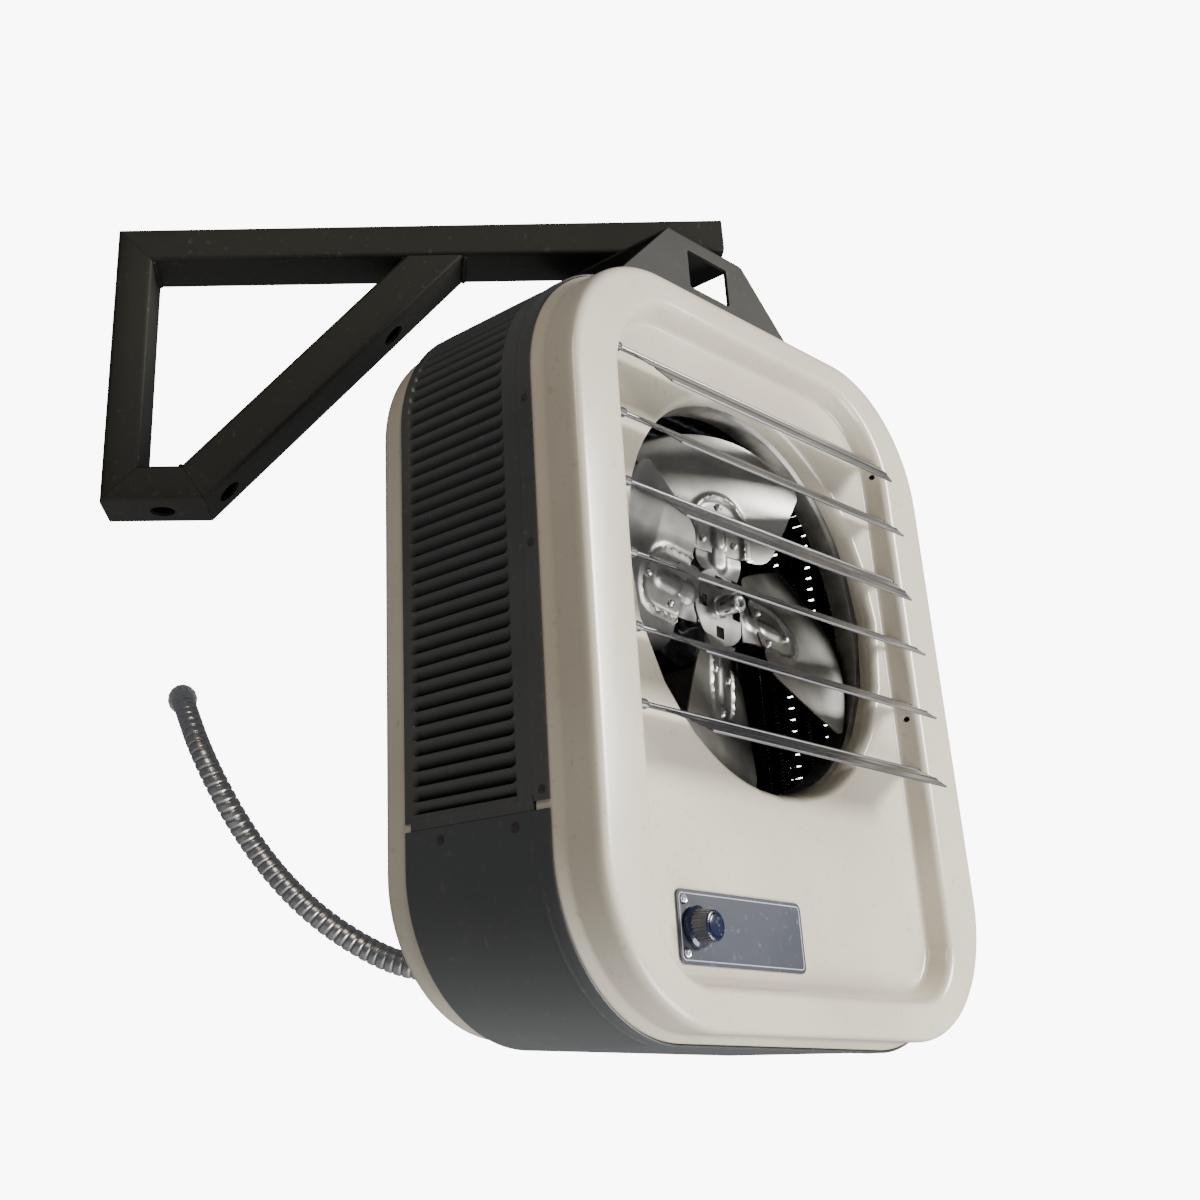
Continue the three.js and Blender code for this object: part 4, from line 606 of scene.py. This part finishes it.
def box_tube(near, far, wall=3.0, corner=4.0):
    """A rectangular tube between two slanted cuts, each given as its lower and upper [run, height]."""
    near, far = np.asarray(near, float), np.asarray(far, float)
    along = unit(far[0] - near[0])
    rise = near[1] - near[0]
    face = abs(along[0] * rise[1] - along[1] * rise[0])
    rings = []
    for half_face, half_depth, radius, cuts in ((face / 2, tube_half_depth, corner, (near, far)),
                                                (face / 2 - wall, tube_half_depth - wall, 1.4, (far, near))):
        section = rounded_box(half_face, half_depth, radius, radius, 5, 2)
        share = section[:, :1] / face + 0.5
        for cut in cuts:
            place = cut[0] + share * (cut[1] - cut[0])
            rings.append(np.stack([place[:, 0], section[:, 1], place[:, 1]], -1))
    return skin(on_arm(rings), close_path=True)


def weld(run, height, half_length=24.0, radius=1.9):
    """A weld bead across the arm in an inner corner: a round cord whose surface ripples along it."""
    depth = np.linspace(-half_length, half_length, 90)
    size = radius * (1 + 0.10 * np.sin(depth * 2.9) + 0.05 * np.sin(depth * 1.3)) * np.clip(
        (half_length + 1.5 - np.abs(depth)) / 3, 0.2, 1)
    turn = full_turn(10)
    rings = np.stack([run + size[:, None] * np.cos(turn), np.repeat(depth[:, None], len(turn), 1),
                      height + size[:, None] * np.sin(turn)], -1)
    return skin(on_arm(rings))


tubes = {
    "arm_top_bar": ([(-70, 385.5), (-70, 418.5)], [(452, 385.5), (485, 418.5)]),
    "arm_drop_leg": ([(452, 385.1), (485, 418.1)], [(452, 181.4), (485, 148.4)]),
    "arm_foot_bar": ([(393.6, 148), (416, 181)], [(485, 148), (452, 181)]),
    "arm_diagonal_brace": ([(393.2, 148), (415.6, 181)], [(166.6, 385.2), (220.6, 385.2)]),
}
arm_pieces = {node: make(node + "_tube", box_tube(*cuts), "arm", black, [node])
              for node, cuts in tubes.items()}
brace_foot, brace_along = np.array([401.9, 0, 167.5]), np.array([-0.691, 0, 0.723])
brace_down = np.array([-0.723, 0, -0.691])
holes = [("arm_top_bar", (0, 0, 380), (0, 0, 390), 6.5), ("arm_foot_bar", (434, 0, 144), (434, 0, 155), 11)]
for up_brace in (17, 226.2):
    mouth = brace_foot + up_brace * brace_along
    holes.append(("arm_diagonal_brace", mouth + 10 * brace_down, mouth + 30 * brace_down, 11))
for piece, start, end, radius in holes:
    drilled(arm_pieces[piece], [rod(on_arm(start), on_arm(end), radius, 32)])
weld_places = ((451.5, 385.0), (451.5, 181.5), (416.5, 181.8), (222, 385.0), (165.5, 384.8))
make("arm_weld_beads", gathered([weld(*place) for place in weld_places]), "arm", black)
washer = [(6.6, 376.3), (19.4, 376.3), (20, 376.9), (20, 384.6), (19.4, 385.2), (6.6, 385.2)]
make("swivel_spacer", skin(revolved(washer, (0, bolt_depth, 0), (0, 0, 1)), close_path=True), "arm",
     zinc_bright, ["swivel_washer"])

# Fan shroud: a ring of galvanised sheet whose front edge curls over behind the panel's rolled lip.
# Its plain rear edge is a short throat that guides the fan's air to the outlet.
curl_centre = np.array([168.0, 32.0])
curl_turn = np.linspace(np.pi / 2, 0, 12)
curl = np.stack([-np.cos(curl_turn), -np.sin(curl_turn)], -1)
shroud_face = np.concatenate([[(178, 19.6)], curl_centre + curl * (6.2, 12.4),
                              [(161.2, 33.4), (158.9, 35.6), (158.2, 37.2), (158.2, 54)]])
shroud_back = np.concatenate([[(159.4, 54), (159.4, 37.6), (160.2, 36.2), (162.3, 33.8)],
                              curl_centre + curl[::-1] * (5.0, 11.2), [(178, 20.8)]])
shroud_rings = revolved(np.concatenate([shroud_face, shroud_back]), (0, 0, outlet_z), backward, 128)
shroud_zinc = metal("shroud_zinc", (0.34, 0.33, 0.31), (0.22, 0.21, 0.20), (0.30, 0.44), (60, 60, 60), 0.00003)
make("fan_shroud_ring", skin(shroud_rings, close_path=True), "heater", shroud_zinc,
     ["fan_shroud"])

# Fan: four pressed aluminium blades riveted to a steel spider, which is pressed onto a turned hub.
# An arched ridge and a teardrop are pressed into each root to stiffen it, and the tips are rounded.
fan_centre, fan_rest_angle = (0, 0, fan_z), -83.5


def on_fan(points, quarter_turns=0):
    """Points given as [reach, depth, spread] from the fan's axis, turned to a blade's place in the heater."""
    reach, depth, spread = np.moveaxis(np.asarray(points, float), -1, 0)
    angle = math.radians(90 * quarter_turns + fan_rest_angle)
    return np.stack([reach * math.cos(angle) + spread * math.sin(angle), depth,
                     fan_z - reach * math.sin(angle) + spread * math.cos(angle)], -1)


def sheet(points, thickness):
    """A grid of points thickened both ways along its own normals, and closed round its edge."""
    along, across = np.gradient(points, axis=0), np.gradient(points, axis=1)
    normal = unit(np.cross(along, across))
    front = points - thickness / 2 * normal
    back = points + thickness / 2 * normal
    return skin(np.concatenate([front, back[:, ::-1]], axis=1))


blade_pitch, blade_root, blade_tip, blade_depth = math.radians(18), 47.0, 151.0, 60.0
share = np.linspace(0, 1, 61)[:, None]
place = np.linspace(-0.5, 0.5, 57)[None, :]
tip_round = 1 - 0.17 * (1 - np.sqrt(1 - np.clip((share - 0.86) / 0.14, 0, 1) ** 2))
root_round = 1 - 0.16 * (1 - np.sqrt(1 - np.clip((0.09 - share) / 0.09, 0, 1) ** 2))
chord = (88 + 84 * share**0.7) * place * tip_round * root_round
wide = chord * math.cos(blade_pitch)
reach = blade_root + (np.sqrt(blade_tip**2 - wide**2) - blade_root) * share
belly = 9 * np.clip((reach - 92) / (blade_tip - 92), 0, 1) * (1 - 4 * place**2)
arch = np.hypot(np.maximum(reach - 74, 0), chord) - 25
teardrop = np.hypot(np.clip(np.abs(reach - 66) - 8, 0, None), chord * 1.25) - 7.5
arched = 2.0 * np.exp(-((arch / 2.3) ** 2)) * np.clip((112 - reach) / 10, 0, 1)
lift = belly + (arched + 1.8 / (1 + np.exp(teardrop * 1.3)))
blade_grid = np.stack([reach, blade_depth + chord * math.sin(blade_pitch) - lift * math.cos(blade_pitch),
                       wide + lift * math.sin(blade_pitch)], -1)
blade_metal = metal(
    "fan_aluminium", (0.37, 0.36, 0.33), (0.26, 0.255, 0.24), (0.26, 0.42), (30, 30, 30), 0.00004)
for turn in range(4):
    make("fan_blade_pressing_%d" % (turn + 1), sheet(on_fan(blade_grid, turn), 1.0), "fan",
         blade_metal, ["fan_blade_%d" % (turn + 1)])
rivet = [(0.01, -2.6), (1.6, -2.4), (2.8, -1.6), (3.3, -0.6), (3.3, 0), (0.01, 0)]
front_normal = np.array([0, -math.cos(blade_pitch), math.sin(blade_pitch)])
rivets = []
for turn in range(4):
    for reach_at, chord_at in ((58, -15.5), (58, 15.5), (90, 0)):
        seat = np.array([reach_at, blade_depth + chord_at * math.sin(blade_pitch),
                         chord_at * math.cos(blade_pitch)])
        start, end = on_fan(seat + 0.5 * front_normal, turn), on_fan(seat - front_normal, turn)
        rivets.append(skin(revolved(rivet, start, end - start, 20)))
make("fan_rivets", gathered(rivets), "fan", zinc_bright)

spread_share = np.linspace(-1, 1, 25)[None, :]
arm_tip = 74 + 22 * np.sin(np.linspace(0, np.pi / 2, 14))[1:]
arm_reach = np.concatenate([np.linspace(28.6, 74, 30), arm_tip])[:, None]
arm_half = np.sqrt(np.clip(22.0**2 - np.maximum(arm_reach - 74, 0) ** 2, 0.04, None))
arm_ease = np.clip((arm_reach - 22) / 20, 0, 1)
twist = blade_pitch * arm_ease**2 * (3 - 2 * arm_ease)
pressed = np.hypot(np.clip(np.abs(arm_reach - 44) - 5, 0, None), arm_half * spread_share) - 7.5
behind = 0.75 + 0.75 * np.clip((arm_reach - 31) / 12, 0, 1) - 1.9 / (1 + np.exp(pressed * 1.3))
spider_grid = np.stack([np.broadcast_to(arm_reach, behind.shape),
                        blade_depth + arm_half * spread_share * np.sin(twist) + behind * np.cos(twist),
                        arm_half * spread_share * np.cos(twist) - behind * np.sin(twist)], -1)
spider_steel = metal(
    "spider_steel", (0.34, 0.335, 0.32), (0.25, 0.245, 0.24), (0.26, 0.42), (50, 50, 50), 0.00004)
make("fan_spider_arms", gathered([sheet(on_fan(spider_grid, turn), 1.5) for turn in range(4)]), "fan",
     spider_steel, ["fan_spider"])
disc = [(8.2, 60), (32.4, 60), (33, 60.6), (32.4, 61.5), (8.2, 61.5)]
window = [[(reach_at, depth, spread) for reach_at, spread in ((17, -5), (27, -5), (27, 5), (17, 5))]
          for depth in (54, 66)]
drilled(make("fan_spider_disc", skin(revolved(disc, fan_centre, backward, 64), close_path=True), "fan",
             spider_steel), [skin(on_fan(window, turn)) for turn in range(4)])
hub = [(4.2, 40.6), (4.8, 40), (7.2, 40), (8, 40.8), (8, 58.6), (9.4, 59), (9.4, 62), (8, 62.4), (8, 75.8),
       (11.4, 75.8), (12, 76.4), (12, 89.4), (11.4, 90), (4.2, 90)]
hub_metal = metal("turned_aluminium", (0.80, 0.80, 0.79), (0.60, 0.60, 0.60), (0.14, 0.28), (200, 900, 200))
make("fan_hub_turning", skin(revolved(hub, fan_centre, backward, 48), close_path=True), "fan",
     hub_metal, ["fan_hub"])

# Motor: a drawn steel shell in dark enamel, its two halves clamped by four through-bolts.
# It stands on a bridge inside the rear panel, and its shaft reaches forward to the fan.
shell = [(4.4, 98), (12.6, 98), (14, 99.2), (14, 103.2), (15, 104), *arc((36, 110), 6, 270, 360, 7),
         (42, 134.6), (41.2, 135.2), (41.2, 136.8), (42, 137.4), *arc((36, 162), 6, 0, 90, 7), (4.4, 168)]
motor_parts = [skin(revolved(shell, fan_centre, backward, 64), close_path=True)]
for angle in np.radians((45, 135, 225, 315)):
    bolt_place = (33 * math.cos(angle), 104.2, fan_z + 33 * math.sin(angle))
    motor_parts += screw(bolt_place, (0, -1, 0), 3.2, 2.4)
motor_enamel = metal("motor_enamel", (0.20, 0.20, 0.21), (0.12, 0.12, 0.13), (0.36, 0.5), (120, 120, 120))
make("motor_shell", gathered(motor_parts), "heater", motor_enamel, ["motor_housing"])

# Heating elements: steel-sheathed rods bent to a U, with a crimped steel ribbon wound round both legs.
# Heat has blued them; each rod's ends pass through the divider in ceramic bushings.


def finned_leg(x, depth, low, high, turns=84, steps=24, core=4.6, rim=12.5):
    """A crimped ribbon wound round a leg: a helix of thin quads whose edge zigzags at each step."""
    count = np.arange(turns * steps + 1)
    angle = 2 * np.pi * count / steps
    height = low + (high - low) * count / (turns * steps)
    crimp = 0.75 * (-1.0) ** count
    rings = []
    for radius, rise in ((core, -0.2), (rim, -0.2), (rim, 0.2), (core, 0.2)):
        wave = crimp * (radius - core) / (rim - core)
        rings.append(np.stack([x + radius * np.cos(angle), depth + radius * np.sin(angle),
                               height + rise + wave], -1))
    return skin(np.stack(rings, axis=1))


blued = metal("blued_steel", (0.20, 0.22, 0.27), (0.085, 0.09, 0.11), (0.22, 0.42), (300, 300, 300), 0.00006)
leg_x, bend_radius, rod_radius = 195, 68, 5
half_rod = np.concatenate([[(leg_x, -158.2)], [(leg_x, z) for z in np.linspace(-130, 160, 8)],
                           arc((leg_x - bend_radius, 172), bend_radius, 0, 90, 16)])
rod_line = np.concatenate([half_rod, half_rod[::-1] * (-1, 1)])
step, turn = unit(np.gradient(rod_line, axis=0)), full_turn(20)
for place, depth in enumerate((79, 112, 145)):
    rings = np.stack([rod_line[:, :1] + rod_radius * np.cos(turn) * step[:, 1:],
                      np.repeat(depth + rod_radius * np.sin(turn)[None], len(rod_line), 0),
                      rod_line[:, 1:] - rod_radius * np.cos(turn) * step[:, :1]], -1)
    parts = [skin(rings)] + [finned_leg(side * leg_x, depth, -118.2, 171.0) for side in (-1, 1)]
    make("finned_element_%d" % (place + 1), gathered(parts), "heater", blued,
         ["heating_element_%d" % (place + 1)], sharp=20.0)

# Control plate and knob: a bare anodised plate with a line round its edge, held by two small screws.
# The knob is moulded in glossy dark plastic with flutes, and sits on the thermostat's stem.
plate_slate = enamel(
    "plate_slate", (0.030, 0.034, 0.050), (0.022, 0.026, 0.038), (0.32, 0.44), 12.0, 900.0, 0.00001,
    (0.13, 0.14, 0.17))
plate = make("control_plate_sheet", eased_block((-143, 16.5, -241), (2, 17.7, -192), 1, 5.0, 0.25), "heater",
             plate_slate, ["control_plate"])
drilled(plate, [rod((knob_x, 14, knob_z), (knob_x, 20, knob_z), 3.7)])
border_outer, border_inner = (rounded_box(half_x, half_z, corner, corner, 6, 4) + (-70.5, knob_z)
                              for half_x, half_z, corner in ((70.2, 22.2, 3.6), (69.5, 21.5, 3.0)))
border = [np.insert(outline, 1, depth, axis=1) for outline, depth in (
    (border_outer, 16.55), (border_outer, 16.38), (border_inner, 16.38), (border_inner, 16.55))]
border_line = enamel("border_line", (0.42, 0.44, 0.47), (0.34, 0.36, 0.40), (0.3, 0.4), 30.0, 900.0, 0.00001)
make("control_plate_border", skin(border, close_path=True), "heater", border_line)
screw_head = [(0.01, 15.6), (1.3, 15.6), (1.5, 14.9), (2.3, 14.7), (2.9, 15.1), (3.2, 15.8), (3.2, 16.2),
              (0.01, 16.2)]
for place, z in enumerate((-234, -199)):
    make("plate_screw_head_%d" % (place + 1), skin(revolved(screw_head, (-136, 0, z), backward, 24)), "heater",
         zinc_bright, ["plate_screw_%d" % (place + 1)])
navy = enamel("knob_plastic", (0.013, 0.018, 0.042), (0.008, 0.012, 0.030), (0.10, 0.20), 12.0, 900.0, 0.00001,
              (0.13, 0.14, 0.17))
flutes = 28
turn = full_turn(flutes * 6)
knob_profile = ((3.3, 16.0, 0), (13.4, 16.0, 0), (14, 15.4, 0), (14, 12.6, 0), (13.4, 12.0, 0), (11.7, 11.2, 0),
                (11.4, 10.2, 0.45), (10.9, 1.4, 0.45), (10.4, 0.2, 0.3), (9.3, -0.5, 0), (8.2, -0.6, 0),
                (7.9, 0.0, 0), (7.4, 0.0, 0), (7.1, -0.8, 0), (6.2, -1.0, 0), (0.01, -1.0, 0))
knob_rings = []
for radius, depth, flute in knob_profile:
    size = radius - flute * (0.5 + 0.5 * np.cos(flutes * turn))
    knob_rings.append(np.stack([knob_x + size * np.cos(turn), np.full(len(turn), depth),
                                knob_z + size * np.sin(turn)], -1))
knob_parts = [skin(knob_rings), eased_block((-125.1, -0.75, -209.6), (-123.9, 0.6, -206.6), 1, 0.3, 0.1)]
make("thermostat_knob_moulding", gathered(knob_parts), "thermostat_knob", navy,
     ["thermostat_knob"])

# Louvers: six polished aluminium blades that turn on pins in the recess's walls to aim the warm air.
# Two creases and a folded front edge stiffen each one, and a wound spring clip holds its left pin.


def spring(x, turns=5, radius=3.1, wire=0.65, pitch=1.4):
    """A wire wound round a pin that lies along X: a helix of small rings."""
    angle = np.linspace(0, 2 * np.pi * turns, int(turns * 18))
    centre = np.stack([x + pitch * angle / (2 * np.pi), radius * np.cos(angle), radius * np.sin(angle)], -1)
    tangent = unit(np.gradient(centre, axis=0))
    outward = np.stack([0 * angle, np.cos(angle), np.sin(angle)], -1)
    around = full_turn(8)[None, :, None]
    rings = centre[:, None] + wire * (np.cos(around) * outward[:, None] + np.sin(around)
                                      * np.cross(tangent, outward)[:, None])
    return skin(rings)


louver_chord = 44
chord_share = np.concatenate([[0], np.linspace(0.02, 0.96, 44), [0.98, 1]])[None, :]
width_share = np.linspace(-1, 1, 41)[:, None]
creases = sum(0.8 * np.exp(-(((chord_share - at) * louver_chord / 1.5) ** 2)) for at in (0.30, 0.64))
rise = 1.6 * np.sin(np.pi * chord_share) + creases
across = width_share * (178 - 26 * chord_share)
blade = np.stack(np.broadcast_arrays(across, -louver_chord * chord_share, rise), -1)
turn = full_turn(14)
fold = np.stack([-42.9 + 1.1 * np.cos(turn), 0.2 + np.sin(turn)], -1)
turn = full_turn(16)
rolled_edge = 2.1 * np.stack([np.cos(turn), np.sin(turn)], -1)
points, faces = gathered([
    sheet(blade, 0.8), skin([np.insert(fold, 0, x, axis=1) for x in (-151.6, -60, 60, 151.6)]),
    skin([np.insert(rolled_edge, 0, x, axis=1) for x in (-177.5, -60, 60, 177.5)]),
    rod((-185, 0, 0), (185, 0, 0), 1.5, 16), spring(-181.5)])
polished = metal(
    "polished_aluminium", (0.33, 0.33, 0.34), (0.17, 0.17, 0.18), (0.24, 0.42), (5, 300, 300), 0.00002)
for place, tilt in enumerate((48, 41, 44, 33, 30, 30)):
    angle = math.radians(tilt)
    depth = pin_depth + points[:, 1] * math.cos(angle) - points[:, 2] * math.sin(angle)
    height = louver_heights[place] + points[:, 1] * math.sin(angle) + points[:, 2] * math.cos(angle)
    make("louver_blade_pressing_%d" % (place + 1), (np.stack([points[:, 0], depth, height], -1), faces),
         "louver_%d" % (place + 1), polished, ["louver_blade_%d" % (place + 1)])

# Fasteners, brackets, bushings and wiring parts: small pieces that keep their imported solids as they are.
# Only their finishes are given here: zinc plate, galvanised sheet, brown resin and unglazed steatite.
sheet_zinc = metal("zinc_sheet", (0.55, 0.56, 0.57), (0.36, 0.37, 0.38), (0.28, 0.48), (90, 90, 90))
brown_resin = enamel(
    "brown_resin", (0.050, 0.034, 0.024), (0.034, 0.022, 0.016), (0.32, 0.48), 20.0, 800.0, 0.00002)
stoneware = enamel("steatite", (0.74, 0.71, 0.64), (0.66, 0.62, 0.55), (0.5, 0.7), 60.0, 900.0, 0.00004)
finishes = {
    zinc_bright: ["swivel_bolt", "swivel_weld_nut", "motor_nut_1", "motor_nut_2", "earth_lug", "thermostat_stem",
                  "motor_shaft"] + ["yoke_screw_%d" % place for place in range(1, 5)],
    sheet_zinc: ["compartment_divider", "motor_bridge", "element_support_left", "element_support_right"],
    brown_resin: ["terminal_block", "contactor", "thermostat_body", "limit_switch"],
    stoneware: ["element_bushing_%d" % place for place in range(1, 7)],
}
for finish, nodes in finishes.items():
    for node in nodes:
        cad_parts[node].data.materials[0] = finish

bpy.context.view_layer.update()
bpy.context.view_layer.update()

# Stage: a pale floor far below the heater and a white backdrop that only the camera sees.
# The lamps are a strong one in front on the right, a faint warm one on the left and one from below.
floor_mesh = bpy.data.meshes.new("studio_floor")
floor_mesh.from_pydata([(-6, -6, -2.4), (6, -6, -2.4), (6, 6, -2.4), (-6, 6, -2.4)], [], [(0, 1, 2, 3)])
floor = bpy.data.objects.new("studio_floor", floor_mesh)
bpy.context.scene.collection.objects.link(floor)
floor_mesh.materials.append(enamel("studio_paint", (0.86, 0.86, 0.85), (0.84, 0.84, 0.83), (0.7, 0.8)))
world = bpy.data.worlds.new("studio")
bpy.context.scene.world = world
world.use_nodes = True
nodes, links = world.node_tree.nodes, world.node_tree.links
ambient, backdrop = nodes["Background"], nodes.new("ShaderNodeBackground")
ambient.inputs["Color"].default_value, ambient.inputs["Strength"].default_value = (0.90, 0.93, 1.0, 1), 0.20
backdrop.inputs["Color"].default_value, backdrop.inputs["Strength"].default_value = (1, 1, 1, 1), 9.0
seen, share = nodes.new("ShaderNodeLightPath"), nodes.new("ShaderNodeMixShader")
links.new(seen.outputs["Is Camera Ray"], share.inputs["Fac"])
links.new(ambient.outputs["Background"], share.inputs[1])
links.new(backdrop.outputs["Background"], share.inputs[2])
links.new(share.outputs["Shader"], nodes["World Output"].inputs["Surface"])
aim = Vector((0, -0.05, -0.42))
for name, place, size, power, tint in (
        ("key_light", (1.7, -2.7, 0.5), 1.0, 185.0, (1.0, 0.985, 0.96)),
        ("side_light", (-2.3, -2.1, 1.5), 1.0, 34.0, (1.0, 0.88, 0.72)),
        ("low_light", (0.5, -1.5, -1.9), 1.2, 64.0, (0.98, 0.985, 1.0))):
    lamp = bpy.data.lights.new(name, "AREA")
    lamp.size, lamp.energy, lamp.color = size, power, tint
    light = bpy.data.objects.new(name, lamp)
    light.location = place
    light.rotation_mode = "QUATERNION"
    light.rotation_quaternion = (aim - Vector(place)).to_track_quat("-Z", "Y")
    bpy.context.scene.collection.objects.link(light)
